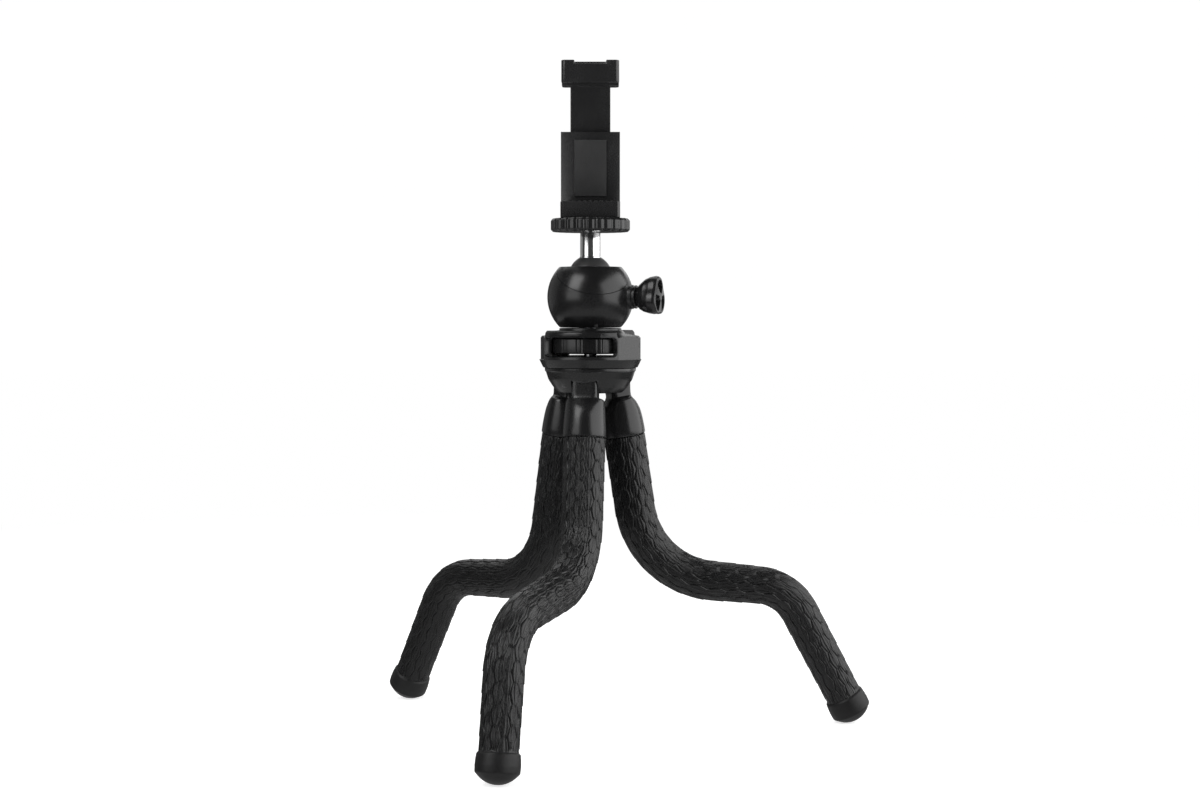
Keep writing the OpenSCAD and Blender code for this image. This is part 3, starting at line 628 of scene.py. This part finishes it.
# %% [markdown]
# The housing is made of two shells that meet on a slanting plane. A large block divides it: one
# copy keeps what is above the plane and the other what is below, each a little over a tenth of a
# millimetre short, so a real parting line stays open. The lower shell has an index rib.

# %% Housing shells
SEAM_TURN, SEAM_TILT, SEAM_LOW, SEAM_GAP = -79.0, 31.0, 1.2, 0.13
on_seam = spin(SEAM_TURN) @ shift(HOUSE_R, 0, HOUSE_Z + SEAM_LOW) @ spin(SEAM_TILT, "Y")


def above_seam(gap):
    return placed(box("above", (-70, -50, gap), (30, 50, 60)), on_seam)


upper = into_scene("head_upper_shell_look", body.data.copy())
upper = cut(upper, [above_seam(SEAM_GAP)], "INTERSECT")
lower = cut(body, [above_seam(-SEAM_GAP)])
mark = eased(box("mark", (2.1, -16.4, HOUSE_LOW), (3.7, -13, HOUSE_LOW + 2.8)), 0.4)
with_mark = bmesh.new()
with_mark.from_mesh(lower.data)
with_mark.from_mesh(mark.data)
with_mark.to_mesh(lower.data)
with_mark.free()
bpy.data.objects.remove(mark)
dressed(lower, satin_black, "head", "head_lower_shell")
dressed(upper, satin_black, "head", "head_upper_shell")
print("shell faces:", len(lower.data.polygons), len(upper.data.polygons))

# %% [markdown]
# ## Lock knob
# Three lobes swell out of a thin neck, and the end has a three armed rib with pockets between
# the arms. Both come from one turned shape whose radius and height change with the angle.

# %% Lock knob
KNOB_IN, KNOB_END, KNOB_R, KNOB_BORE, KNOB_FLOOR = 24.5, 36.6, 10.4, 2.6, 5.2
LOBES, LOBE_DIP, LOBE_POWER, SWELL_FROM, SWELL_RUN = 3, 0.20, 1.6, 0.4, 6.0
POCKET_DEPTH, POCKET_IN, POCKET_OUT, MIDDLE_RUN, RIM_RUN = 3.0, 2.0, 8.4, 0.8, 0.7
ARM_EDGE, ARM_RUN, FACE_DEPTH, FACE_RUN = 0.62, 0.2, 0.75, 0.15
END_R, END_Z, END_RISE = 9.5, 36.0, 0.6


def knob_lobes(r, z, angle):
    dip = (0.5 - 0.5 * np.cos(LOBES * (angle - math.pi))) ** LOBE_POWER
    swell = np.clip((z - KNOB_IN - SWELL_FROM) / SWELL_RUN, 0, 1)
    lobed = r * (1 - LOBE_DIP * dip * swell * swell * (3 - 2 * swell))
    on_end = np.clip((z - KNOB_END + FACE_DEPTH) / FACE_RUN, 0, 1)
    past_middle = np.clip((r - POCKET_IN) / MIDDLE_RUN, 0, 1)
    inside = past_middle * np.clip((POCKET_OUT - r) / RIM_RUN, 0, 1)
    sunk = np.clip((ARM_EDGE - dip) / ARM_RUN, 0, 1) * inside * on_end
    return lobed, z - POCKET_DEPTH * sunk


knob_side = rounded([
    (KNOB_BORE, KNOB_END - KNOB_FLOOR), (KNOB_BORE, KNOB_IN), (4.7, KNOB_IN, 0.3),
    (5.2, 25.0, 0.8), (6.7, 26.4, 2), (8.7, 28.7, 4), (9.9, 31.4, 4), (KNOB_R, 34.2, 0.9),
    (10.1, 35.5, 0.5), (END_R, END_Z, 0.3)], 5)
knob_end = [(r, END_Z + END_RISE * (1 - (r / END_R) ** 2)) for r in np.linspace(9.2, 0.0, 28)]
knob_outline = np.vstack([[(0, KNOB_END - KNOB_FLOOR)], knob_side, knob_end])
knob = placed(turned("lock_knob_look", knob_outline, 180, knob_lobes), ON_KNOB)
dressed(knob, grip_black, "knob", "lock_knob")
print("knob faces:", len(knob.data.polygons))

# %% [markdown]
# ## Knob collar
# The collar between housing and knob is a short dark tube with a lip. It is turned about the
# knob's axis, with its bore left open for the lock screw.

# %% Knob collar
COLLAR_BORE, COLLAR_IN, COLLAR_END = 2.56, 18.5, 24.2
collar_outline = rounded([
    (COLLAR_BORE, COLLAR_IN), (6.0, COLLAR_IN), (6.0, 22.3, 0.3), (5.3, 22.6, 0.2),
    (5.3, 23.1, 0.2), (5.8, 23.3, 0.2), (5.8, COLLAR_END, 0.3), (COLLAR_BORE, COLLAR_END)], 3)
collar = placed(turned("knob_collar_look", collar_outline, 72, closed=True), ON_KNOB)
dressed(collar, grip_black, "head", "knob_collar")
print("collar faces:", len(collar.data.polygons))

# %% [markdown]
# ## Polished stem
# The steel stem is turned and chromed. A foot ring seats it on the flat of the ball, and its top
# edge is broken so that the wheel's thread starts cleanly.

# %% Polished stem
FLAT_R, STEM_R, STEM_BORE, STEM_TOP = 5.5, 5.05, 3.4, WHEEL_Z - 0.1
FLAT_Z = BALL_Z + math.sqrt(BALL_R ** 2 - FLAT_R ** 2)
PEG_R, PEG_Z, BORE_Z = 2.9, FLAT_Z - 7.8, WHEEL_Z - 6
stem_outline = rounded([
    (0, PEG_Z), (PEG_R, PEG_Z, 0.3), (PEG_R, FLAT_Z), (5.3, FLAT_Z),
    (5.3, FLAT_Z + 0.5, 0.2), (STEM_R, FLAT_Z + 0.8, 0.2), (STEM_R, STEM_TOP, 0.3),
    (STEM_BORE, STEM_TOP), (STEM_BORE, BORE_Z), (0, BORE_Z)], 3)
stem = turned("ball_stem_look", stem_outline, 96)
dressed(stem, chrome, "ball", "ball_stem")
print("stem from", round(FLAT_Z, 2), "to", round(STEM_TOP, 2))

# %% [markdown]
# ## Lock wheel
# The ribbed wheel under the clip jams against it like a lock nut. Its grooves are arcs of a
# circle, so the warp takes the depth of that circle below the rim.

# %% Lock wheel
GROOVES, GROOVE_R, GROOVE_OUT, GROOVE_IN, GROOVE_RUN = 26, 1.4, 0.75, 17.5, 1.2
WHEEL_BORE, WHEEL_LOW, FACE_R, EDGE_R, EDGE_RUN = 3.25, WHEEL_Z + 0.15, 17.6, 18.7, 1.2


def wheel_grooves(r, z, angle):
    off = np.angle(np.exp(1j * GROOVES * angle)) / GROOVES * WHEEL_R
    depth = np.maximum(0, np.sqrt(np.maximum(0, GROOVE_R ** 2 - off ** 2)) - GROOVE_OUT)
    share = np.clip((r - GROOVE_IN) / GROOVE_RUN, 0, 1)
    return np.where(r > GROOVE_IN, r - depth * share, r), z


wheel_outline = rounded([
    (WHEEL_BORE, WHEEL_LOW), (FACE_R, WHEEL_LOW), (EDGE_R, WHEEL_LOW, 0.6),
    (WHEEL_R, WHEEL_Z + EDGE_RUN, 0.6), (WHEEL_R, WHEEL_TOP - EDGE_RUN, 0.6),
    (EDGE_R, WHEEL_TOP, 0.6), (FACE_R, WHEEL_TOP), (WHEEL_BORE, WHEEL_TOP)], 3)
wheel = turned("lock_wheel_look", wheel_outline, GROOVES * 14, wheel_grooves, closed=True)
dressed(wheel, wheel_black, "wheel", "lock_wheel")
print("wheel faces:", len(wheel.data.polygons))

# %% [markdown]
# ## Eased copies of the CAD solids
# The clip is made of straight moulded walls, which CAD already has right. A copy of each solid
# has its flat triangles joined into whole faces, and a narrow bevel then gives the edges the
# small radius that catches the light.


# %% Eased copies
def eased_copy(node, width, finish, body):
    piece = into_scene(node + "_look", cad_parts[node].data.copy())
    work = bmesh.new()
    work.from_mesh(piece.data)
    bmesh.ops.remove_doubles(work, verts=work.verts, dist=2 * SAME_PLACE)
    flat = math.radians(1)
    bmesh.ops.dissolve_limit(work, angle_limit=flat, verts=work.verts, edges=work.edges)
    work.to_mesh(piece.data)
    work.free()
    old = piece.data.attributes.get("custom_normal")
    if old:
        piece.data.attributes.remove(old)
    return dressed(eased(tidy(piece), width), finish, body, node)


for node, width, finish, body_name in [
        ("clip_base", 0.5, clip_black, "clip"), ("clip_slider", 0.5, clip_black, "jaw"),
        ("clip_cover", 0.35, clip_black, "clip"), ("clip_lower_pad", 0.15, pad_rubber, "clip"),
        ("clip_upper_pad", 0.15, pad_rubber, "jaw"), ("clip_back_pad", 0.25, pad_rubber, "clip")]:
    made = eased_copy(node, width, finish, body_name)
    print(made.name, len(made.data.polygons))

# %% [markdown]
# ## Jaw springs
# Two pull springs lie in the pockets of the slider. Their lower hooks hold the floor of the
# channel and their upper hooks hold the slider, so they draw the upper jaw down. A coil is a
# round wire swept along a helix.

# %% Jaw springs
SPRING_TURNS, SPRING_WIRE, TURN_STEPS, WIRE_STEPS = 20, 0.35, 20, 8
spring_low, spring_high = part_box("clip_springs")
coil_r = (spring_high[1] - spring_low[1]) / 2 / MM - SPRING_WIRE
coil_y = (spring_high[1] + spring_low[1]) / 2 / MM
coil_x = spring_high[0] / MM - coil_r - SPRING_WIRE
coil_bottom, coil_top = spring_low[2] / MM + SPRING_WIRE, spring_high[2] / MM - SPRING_WIRE
share = np.linspace(0, 1, SPRING_TURNS * TURN_STEPS + 1)[:, None]
swing = 2 * math.pi * SPRING_TURNS * share
ring = np.linspace(0, 2 * math.pi, WIRE_STEPS, endpoint=False)[None, :]
reach = coil_r + SPRING_WIRE * np.cos(ring)
level = coil_bottom + (coil_top - coil_bottom) * share + SPRING_WIRE * np.sin(ring)
points, faces = [], []
for side in (-1, 1):
    first, last = len(points), len(points) + (len(share) - 1) * WIRE_STEPS
    coil = [side * coil_x + reach * np.cos(swing), coil_y + reach * np.sin(swing), level]
    points += list(np.stack(coil, -1).reshape(-1, 3) * MM)
    faces += grid_faces(len(share), WIRE_STEPS, first)
    faces += [tuple(range(start, start + WIRE_STEPS)) for start in (first, last)]
springs = tidy(new_piece("clip_springs_look", points, faces), 60)
springs.data.materials.append(zinc)
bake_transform(springs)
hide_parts("clip_springs")
print("springs of", SPRING_TURNS, "turns, coil radius", round(coil_r, 2))

# %% [markdown]
# ## Leg sockets
# Each socket is a bell with a flat tongue on top, moulded in one piece. The tongue swings on the
# hinge pin in its slot in the bowl, so its end is round. At the front and back it runs into the
# bell in one soft curve, while square shoulders are left at its sides. Rings between a rounded
# box and a circle give that change of shape: each has a height, a half depth, a half width and
# the power of its curve, where 2 is an ellipse and a higher power is squarer.

# %% Leg sockets
TONGUE_R, TONGUE_HALF, PIN_HOLE, CORE_HOLE = 5.6, 6.35, 1.66, 3.06
SOCKET_RINGS = [(TONGUE_R * math.sin(t), TONGUE_R * math.cos(t), TONGUE_HALF, 7)
                for t in np.radians(np.linspace(90, 0, 14))]
SOCKET_RINGS += [
    (-1.5, 5.45, TONGUE_HALF, 7), (-3.5, 5.15, TONGUE_HALF, 7), (-5.2, 4.95, 6.36, 7),
    (-6.6, 5.1, 6.42, 5.5), (-7.2, 5.3, 7.1, 4.0), (-7.45, 5.45, 8.1, 3.2), (-7.8, 5.7, 8.9, 2.8),
    (-8.4, 6.2, 9.35, 2.5), (-9.2, 6.95, 9.6, 2.4), (-10.5, 7.95, 9.75, 2.25),
    (-12, 8.75, 9.9, 2.12), (-14, 9.6, 10.1, 2.05), (-16, 10.1, 10.25, 2), (-18, 10.35, 10.4, 2)]
SOCKET_RINGS += [(z, r, r, 2) for z, r in (
    (-20.5, 10.55), (-23.4, 10.72), (-26.1, 10.75), (-26.4, 10.65), (-26.5, 10.4),
    (-26.5, CORE_HOLE), (-14.3, CORE_HOLE), (-14.3, 0))]


def socket_body(name, steps=112):
    turn = np.linspace(0, 2 * math.pi, steps, endpoint=False)
    cos, sin = np.cos(turn), np.sin(turn)
    points = []
    for z, depth, width, power in SOCKET_RINGS:
        x = depth * np.sign(cos) * np.abs(cos) ** (2 / power)
        y = width * np.sign(sin) * np.abs(sin) ** (2 / power)
        points += [(a * MM, b * MM, z * MM) for a, b in zip(x, y)]
    return tidy(new_piece(name, points, grid_faces(len(SOCKET_RINGS), steps)), 50)


for leg in LEG_TURN:
    socket = socket_body(f"leg_{leg}_socket_look")
    pin_hole = turned("pin_hole", [(0, -10), (PIN_HOLE, -10), (PIN_HOLE, 10), (0, 10)], 40)
    socket = cut(socket, [placed(pin_hole, spin(90, "X"))])
    placed(socket, ON_PIVOT[leg] @ spin(-SPLAY, "Y"))
    dressed(socket, satin_black, f"leg_{leg}_upper", f"leg_{leg}_socket")
print("sockets on", list(LEG_TURN), "with", len(socket.data.polygons), "faces each")

# %% [markdown]
# ## Leg path
# A leg hangs straight from its hinge, bends outward, runs on, and bends back down to its foot.
# The path is worked out in the leg's own plane from the same lengths, angles and radii as the
# solids, with the two lower straights solved so that the foot's dome just touches the ground.

# %% Leg path
LEG_LEN, FOOT_DOME, SOCKET_END, FOOT_ABOVE = 225.1, 12.0, 26.5, 2.5
SLEEVE_END, PATH_SPARE, PATH_STEPS = LEG_LEN - FOOT_ABOVE, 20, 24001
LEGS = {"a": dict(twist=-18.2, run=64.4, up=75.8, up_r=44.3, low=56.4, low_r=26.7),
        "b": dict(twist=-14.7, run=67.1, up=73.7, up_r=37.2, low=69.0, low_r=31.5),
        "c": dict(twist=-2.55, run=74.2, up=77.5, up_r=35.7, low=59.2, low_r=28.5)}


def solve_leg(leg):
    """Adds the straight lengths and the stations where each stretch of the path ends."""
    p = LEGS[leg]
    up, low = math.radians(p["up"]), math.radians(p["low"])
    rest = up - low
    kx = math.cos(math.radians(p["twist"])) * math.sin(math.radians(SPLAY))
    kz = math.cos(math.radians(SPLAY))
    bend_x = p["up_r"] * (1 - math.cos(up)) + p["low_r"] * (math.cos(rest) - math.cos(up))
    bend_z = -p["run"] - p["up_r"] * math.sin(up) - p["low_r"] * (math.sin(up) - math.sin(rest))
    spare = LEG_LEN - p["run"] - p["up_r"] * up - p["low_r"] * low
    rise_mid = kx * math.sin(up) - kz * math.cos(up)
    rise_low = kx * math.sin(rest) - kz * math.cos(rest)
    need = FOOT_DOME - PIVOT_Z - kx * bend_x - kz * bend_z
    end = (need - spare * rise_mid) / (rise_low - rise_mid)
    s1 = p["run"]
    s2 = s1 + p["up_r"] * up
    s3 = s2 + spare - end
    p["stations"] = (s1, s2, s3, s3 + p["low_r"] * low)
    p["place"] = ON_PIVOT[leg] @ spin(-SPLAY, "Y") @ spin(p["twist"])


def on_path(leg, s):
    """Point (x, z) and angle of the leg's axis at each station s, all in the leg's plane."""
    p = LEGS[leg]
    up, rest = math.radians(p["up"]), math.radians(p["up"] - p["low"])
    fine = np.linspace(0, LEG_LEN + PATH_SPARE, PATH_STEPS)
    angle, turn = (np.interp(at, p["stations"], [0, up, up, rest]) for at in (s, fine))
    step = fine[1]
    mid = (turn[1:] + turn[:-1]) / 2
    x = np.concatenate([[0], np.cumsum(np.sin(mid) * step)])
    z = np.concatenate([[0], np.cumsum(-np.cos(mid) * step)])
    return np.interp(s, fine, x), np.interp(s, fine, z), angle


def path_point(leg, s):
    x, z, _ = on_path(leg, np.array([s]))
    return LEGS[leg]["place"] @ Vector((x[0] * MM, 0, z[0] * MM))


for leg in LEGS:
    solve_leg(leg)
    print("leg", leg, "foot centre", [round(c / MM, 2) for c in path_point(leg, LEG_LEN)])

# %% [markdown]
# ## Scaled sleeves
# The rubber is moulded with long scales. Zigzag seams run down the leg, fourteen of them, each a
# mirror of its neighbour, so the scales between them are wide at one place and narrow at the
# next. Each scale has three ribs of uneven depth, and it stands out more and more toward its
# lower end, where it steps back down like a shingle. Bump alone would leave the outline smooth,
# and the photograph shows a small notch at every step, so the scales are real relief. The
# columns of the mesh follow the zigzags, so every seam lies on a line of edges and stays crisp.

# %% Scale pattern
COLUMNS, PERIOD, SWING, STEP_RUN, LIFT, TILT = 14, 9.6, 0.166, 0.06, 0.26, 0.18
SCALE_RIBS, SEAM_DEPTH, RIB_DEPTH = 3, 0.44, 0.40
RIB_SHAPE = ((0, 1, 0), (0.24, 0.34, 0), (0.5, 0, 0), (0.76, 0, 0.34))
HALF_PERIODS = int(2 * LEG_LEN / PERIOD) + 3
RIB_STRENGTH = np.random.default_rng(11).uniform(0.15, 1.0, (COLUMNS, SCALE_RIBS, HALF_PERIODS))


def scale_grid(stations):
    """Angle round the leg, groove depth and height of its scale for every mesh point."""
    wave = 1 - 4 * np.abs((stations / PERIOD + 0.5) % 1 - 0.5)
    step = 2 * math.pi / COLUMNS
    halves = stations / (PERIOD / 2)
    turns, gaps, rises = [], [], []
    for k in range(COLUMNS):
        sign, phase = (1, 0) if k % 2 == 0 else (-1, 0.5)
        left = step * (k + sign * SWING * wave)
        width = step * (1 - 2 * sign * SWING * wave)
        lift = LIFT * ((stations / PERIOD + phase) % 1 - 0.5)
        seam = np.full(len(stations), SEAM_DEPTH)
        between_ribs = [RIB_DEPTH * np.interp(halves, np.arange(HALF_PERIODS), row)
                        for row in RIB_STRENGTH[k][1:]]
        valleys = [seam, *between_ribs, seam]
        for rib in range(SCALE_RIBS):
            for place, from_left, from_right in RIB_SHAPE:
                x = (rib + place) / SCALE_RIBS
                turns.append(left + x * width)
                gaps.append(valleys[rib] * from_left + valleys[rib + 1] * from_right)
                rises.append((TILT * (x - 0.5) + lift) if x > 0 else 0 * lift)
    return np.stack(turns, 1), np.stack(gaps, 1), np.stack(rises, 1)


print("scales round a leg:", COLUMNS, "and", round((SLEEVE_END - SOCKET_END) / PERIOD), "along it")

# %% [markdown]
# A sleeve is a tube along the leg's path. Its rows stand closest at the steps and at the neck
# under the socket. Each face is split along its lower diagonal, so that the grooves stay deep.

# %% Sleeve helpers
SLEEVE_RADII = [10.25, 10.0, 10.0, 9.4, 9.4, 9.0]
ROWS = np.array([STEP_RUN, 1.3, 2.4, 3.5, PERIOD / 2 - STEP_RUN])
NECK_ROWS, ROW_CLEAR = np.array([0.35, 0.55, 0.75]), 0.12


def sleeve_radius(leg, s):
    return np.interp(s, [SOCKET_END, *LEGS[leg]["stations"], SLEEVE_END], SLEEVE_RADII)


def tube(name, leg, stations, radius, turn, caps=(False, False)):
    """Tube along the leg's path. radius and turn have one row per station."""
    x, z, angle = on_path(leg, stations)
    cos, sin = np.cos(angle)[:, None], np.sin(angle)[:, None]
    across, aside = radius * np.cos(turn), radius * np.sin(turn)
    points = np.stack([x[:, None] + across * cos, aside, z[:, None] + across * sin], -1)
    points = points.reshape(-1, 3) * MM
    rows, n = radius.shape
    faces = []
    for a, b, c, d in grid_faces(rows, n):
        if radius.flat[a] + radius.flat[c] < radius.flat[b] + radius.flat[d]:
            faces += [(a, b, c), (a, c, d)]
        else:
            faces += [(a, b, d), (b, c, d)]
    if caps[0]:
        faces.append(tuple(range(n))[::-1])
    if caps[1]:
        faces.append(tuple(range((rows - 1) * n, rows * n)))
    return placed(new_piece(name, points, faces), LEGS[leg]["place"])


def stretch_ends(leg):
    """Stations between which each of the three bending lengths of a leg runs."""
    _, knee, shank, _ = LEGS[leg]["stations"]
    return [SOCKET_END, knee, shank, SLEEVE_END]


def along(low, high):
    """Stations of the mesh rows between two others, with a few more at the neck."""
    every = np.concatenate([ROWS + k * PERIOD / 2 for k in range(HALF_PERIODS)])
    inner = every[(every > low + ROW_CLEAR) & (every < high - ROW_CLEAR)]
    if low == SOCKET_END:
        inner = np.sort(np.concatenate([inner, low + NECK_ROWS]))
    return np.concatenate([[low], inner, [high]])


print("rows on one period:", 2 * len(ROWS))

# %% [markdown]
# Each leg has three lengths of sleeve, one for each joint that bends it. The relief fades out at
# the socket and at the foot, and the two attributes for the rubber are stored on the way.

# %% Sleeves
FACE_OUT, FADE_RUN, NECK_DEPTH, NECK_REACH, NECK_RUN = 0.16, 0.6, 0.8, 2.2, 0.28
SKIN_R, SKIN_SHORT = 10, 9
for leg in LEGS:
    ends = stretch_ends(leg)
    for k in range(3):
        s = along(ends[k], ends[k + 1])
        mean = sleeve_radius(leg, s)
        turn, depth, rise = scale_grid(s)
        relief = 1 - np.clip(depth / SEAM_DEPTH, 0, 1)
        fade = np.clip(np.minimum(s - SOCKET_END, SLEEVE_END - s) / FADE_RUN, 0, 1)[:, None]
        neck = NECK_DEPTH * np.clip(NECK_REACH - (s - SOCKET_END) / NECK_RUN, 0, 1)[:, None]
        radius = mean[:, None] + FACE_OUT - neck + (rise - depth) * fade
        sleeve = tube(f"leg_{leg}_sleeve_look_{k + 1}", leg, s, radius, turn, (k == 0, k == 2))
        height = sleeve.data.attributes.new("relief", "FLOAT", "POINT")
        height.data.foreach_set("value", relief.astype(np.float32).ravel())
        down = np.broadcast_to(s[:, None] / SKIN_SHORT, turn.shape)
        skin = np.stack([SKIN_R * np.cos(turn), SKIN_R * np.sin(turn), down], -1)
        grain = sleeve.data.attributes.new("skin", "FLOAT_VECTOR", "POINT")
        grain.data.foreach_set("vector", skin.astype(np.float32).ravel())
        LEGS[leg].setdefault("sleeve", []).append(sleeve)
    print("leg", leg, "sleeve faces:", sum(len(o.data.polygons) for o in LEGS[leg]["sleeve"]))

# %% [markdown]
# ## Wire cores
# Inside each sleeve runs the soft aluminium wire that holds the pose. It isn't seen, but it has
# to bend with the sleeve, so it is made in the same three lengths.

# %% Wire cores
CORE_R, CORE_ROWS, CORE_STEPS, CORE_IN, CORE_OUT = 3.0, 40, 16, 12, 6
for leg in LEGS:
    ends = stretch_ends(leg)
    ends[0], ends[3] = SOCKET_END - CORE_IN, SLEEVE_END + CORE_OUT
    for k in range(3):
        s = np.linspace(ends[k], ends[k + 1], CORE_ROWS)
        turn = np.linspace(0, 2 * math.pi, CORE_STEPS, endpoint=False)[None, :]
        radius = np.full((CORE_ROWS, CORE_STEPS), CORE_R)
        core = tube(f"leg_{leg}_core_look_{k + 1}", leg, s, radius, turn, (k == 0, k == 2))
        LEGS[leg].setdefault("core", []).append(core)
print("cores:", sum(len(p["core"]) for p in LEGS.values()))

# %% [markdown]
# ## The leg lengths
# A leg has three bends: at the upper curve, in the straight between, and at the lower curve. Each
# length of sleeve and core gets its finish and its place in the world, and the solids that it
# stands for are hidden.

# %% Leg lengths
BEND_R, BEND_SPARE = 10.5, 0.3


def bend_pieces(leg):
    p = LEGS[leg]
    s1, s2, s3, s4 = p["stations"]
    spans = [(s1, s2, math.radians(p["up"])), (s2, s3, 0), (s3, s4, math.radians(p["low"]))]
    for k, (low, high, angle) in enumerate(spans):
        start, end = path_point(leg, low), path_point(leg, high)
        inset = (BEND_R * math.sin(angle / 2) + BEND_SPARE) * MM
        toward = (end - start).normalized()
        for kind, finish in (("sleeve", sleeve_rubber), ("core", aluminium)):
            piece = tidy(p[kind][k], 60)
            piece.data.materials.append(finish)
            start + toward * inset
            end - toward * inset
            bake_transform(piece)
            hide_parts(*[f"leg_{leg}_{kind}_{n}" for n in ((1,), (2,), (3, 4))[k]])


for leg in LEGS:
    bend_pieces(leg)
print("bending lengths:", sum(len(p["sleeve"]) for p in LEGS.values()))

# %% [markdown]
# ## Feet
# Smooth rubber caps, a little wider than the sleeve, with a domed underside so that they grip at
# any angle. They are turned about the end of the leg's path.

# %% Feet
FOOT_FLOOR = -4.0
foot_arc = arc_points(FOOT_DOME, 0, -47, -90, 14)
foot_side = rounded([
    (CORE_HOLE, FOOT_ABOVE), (9.3, FOOT_ABOVE, 0.5), (10.0, 1.7, 0.8), (10.25, -0.5, 3),
    (10.45, -3.5, 4), (10.3, -6.7, 1.4), foot_arc[0]], 5)
foot_outline = np.vstack([
    [(0, FOOT_FLOOR), (CORE_HOLE, FOOT_FLOOR)], foot_side[:-1], foot_arc])
for leg in LEGS:
    x, z, angle = on_path(leg, np.array([LEG_LEN]))
    foot = turned(f"leg_{leg}_foot_look", foot_outline, 96)
    placed(foot, LEGS[leg]["place"] @ shift(x[0], 0, z[0]) @ Matrix.Rotation(-angle[0], 4, "Y"))
    dressed(foot, foot_rubber, f"leg_{leg}_lower", f"leg_{leg}_foot")
print("feet:", len(LEGS))

# %% [markdown]
# ## Finishes for the solids that stay
# The ball, its seat, the pins, the screws and the other small parts are right as they come from
# CAD. They only need their finishes.

# %% Finishes for the rest
for finish, nodes in {
        ball_black: ["ball"], brass: ["clip_insert", "clamp_shoe"], nylon: ["ball_seat"],
        zinc: ["hinge_pins", "thumbwheel_screw", "shell_screws", "lock_screw", "stud",
               "clip_screws"]}.items():
    for node in nodes:
        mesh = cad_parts[node].data
        mesh.materials.clear()
        mesh.materials.append(finish)
left = [n for n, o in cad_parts.items() if not o.hide_render]
print("solids that stay:", left)

# %% [markdown]
# ## Floor and backdrop
# A plain pale floor and a pale dome round it, so the object stands on white from every side. The
# dome is for the camera alone: the soft boxes make the light.

# %% Floor and backdrop
FLOOR_DROP, FLOOR_RINGS, DOME_R, DOME_SINK = 0.05, (0, 400, 1200, 5900), 6000, 400
NEAR, FAR = 0.35, 1.1


def close_pale(wire, colour, rough, glow):
    close_finish(wire, {
        "Base Color": colour, "Roughness": rough, "Specular IOR Level": 0.0,
        "Emission Color": glow, "Emission Strength": 1.0})


floor_finish, wire = start_finish("pale_floor")
place = wire.node("TexCoord", out="Object")
distance = wire.node("VectorMath", {"operation": "LENGTH"}, {0: place}, out="Value")
far = between(wire, distance, NEAR, FAR)
near_tone = shade_mix(wire, noise(wire, 3, 2), (0.78, 0.78, 0.78), (0.80, 0.80, 0.80))
colour = shade_mix(wire, far, near_tone, (0, 0, 0))
close_pale(wire, colour, 0.9, shade_mix(wire, far, (0.70, 0.70, 0.70), (1, 1, 1)))
dome_finish, wire = start_finish("pale_backdrop")
white = shade_mix(wire, noise(wire, 2, 2), (1, 1, 1), (1.01, 1.01, 1.01))
close_pale(wire, (0, 0, 0, 1), 1.0, white)
floor = turned("floor", [(r, -FLOOR_DROP) for r in FLOOR_RINGS], 64)
floor.data.materials.append(floor_finish)
dome = turned("backdrop", arc_points(DOME_R, -DOME_SINK, 0, 90, 24), 64)
dome.data.materials.append(dome_finish)
dome.visible_diffuse = dome.visible_glossy = dome.visible_shadow = False
floor.visible_glossy = floor.visible_shadow = False
print("floor and backdrop in place")

# %% [markdown]
# ## Soft boxes
# The polished stem shows where the lights stood: a tall box to the left of the camera with a low
# one under it, and a larger one on the right. Boxes above and behind draw thin rims of light
# along the legs, and the last one, below, stands in for the light that a white table throws
# back. Black plastic shows mostly what it mirrors, so the size and place of the boxes matter
# more than their power. Each has an azimuth, an elevation, a distance, a width, a height and a
# radiance.

# %% Soft boxes
LIGHT_AIM, WORLD_GLOW = Vector((0, 0, 0.19)), 0.05
SOFT_BOXES = {
    "left_box": (-47, 38, 1.2, 0.62, 0.80, 4.2),
    "left_low_box": (-47, 5, 1.2, 0.84, 0.42, 1.7),
    "right_box": (79, 16, 1.2, 2.3, 1.36, 2.15),
    "top_box": (-165, 62, 1.3, 1.3, 1.1, 1.3),
    "rear_top_box": (178, 24, 1.4, 1.3, 0.6, 0.9),
    "rear_box": (-125, 12, 1.4, 1.2, 1.2, 0.2),
    "rear_right_box": (148, 6, 1.4, 0.8, 0.8, 0.7),
    "floor_bounce": (0, -90, 0.45, 1.6, 1.6, 0.42),
}


def soft_box(name, azimuth, elevation, distance, width, height, radiance):
    """Box that faces the head, seen from there at an azimuth right of the camera, in degrees."""
    light = bpy.data.lights.new(name, "AREA")
    light.shape, light.size, light.size_y = "RECTANGLE", width, height
    light.energy = radiance * math.pi * width * height
    lamp = into_scene(name, light)
    a, e = math.radians(azimuth), math.radians(elevation)
    out = Vector((math.sin(a) * math.cos(e), -math.cos(a) * math.cos(e), math.sin(e)))
    lamp.location = LIGHT_AIM + out * distance
    lamp.rotation_euler = out.to_track_quat("Z", "Y").to_euler()
    lamp.visible_camera = False


for name, numbers in SOFT_BOXES.items():
    soft_box(name, *numbers)
world = bpy.data.worlds.new("studio")
world.use_nodes = True
glow = world.node_tree.nodes["Background"].inputs
glow["Color"].default_value, glow["Strength"].default_value = (1, 1, 1, 1), WORLD_GLOW
bpy.context.scene.world = world
bpy.context.scene.view_settings.view_transform = "Standard"
print(len(SOFT_BOXES), "soft boxes")
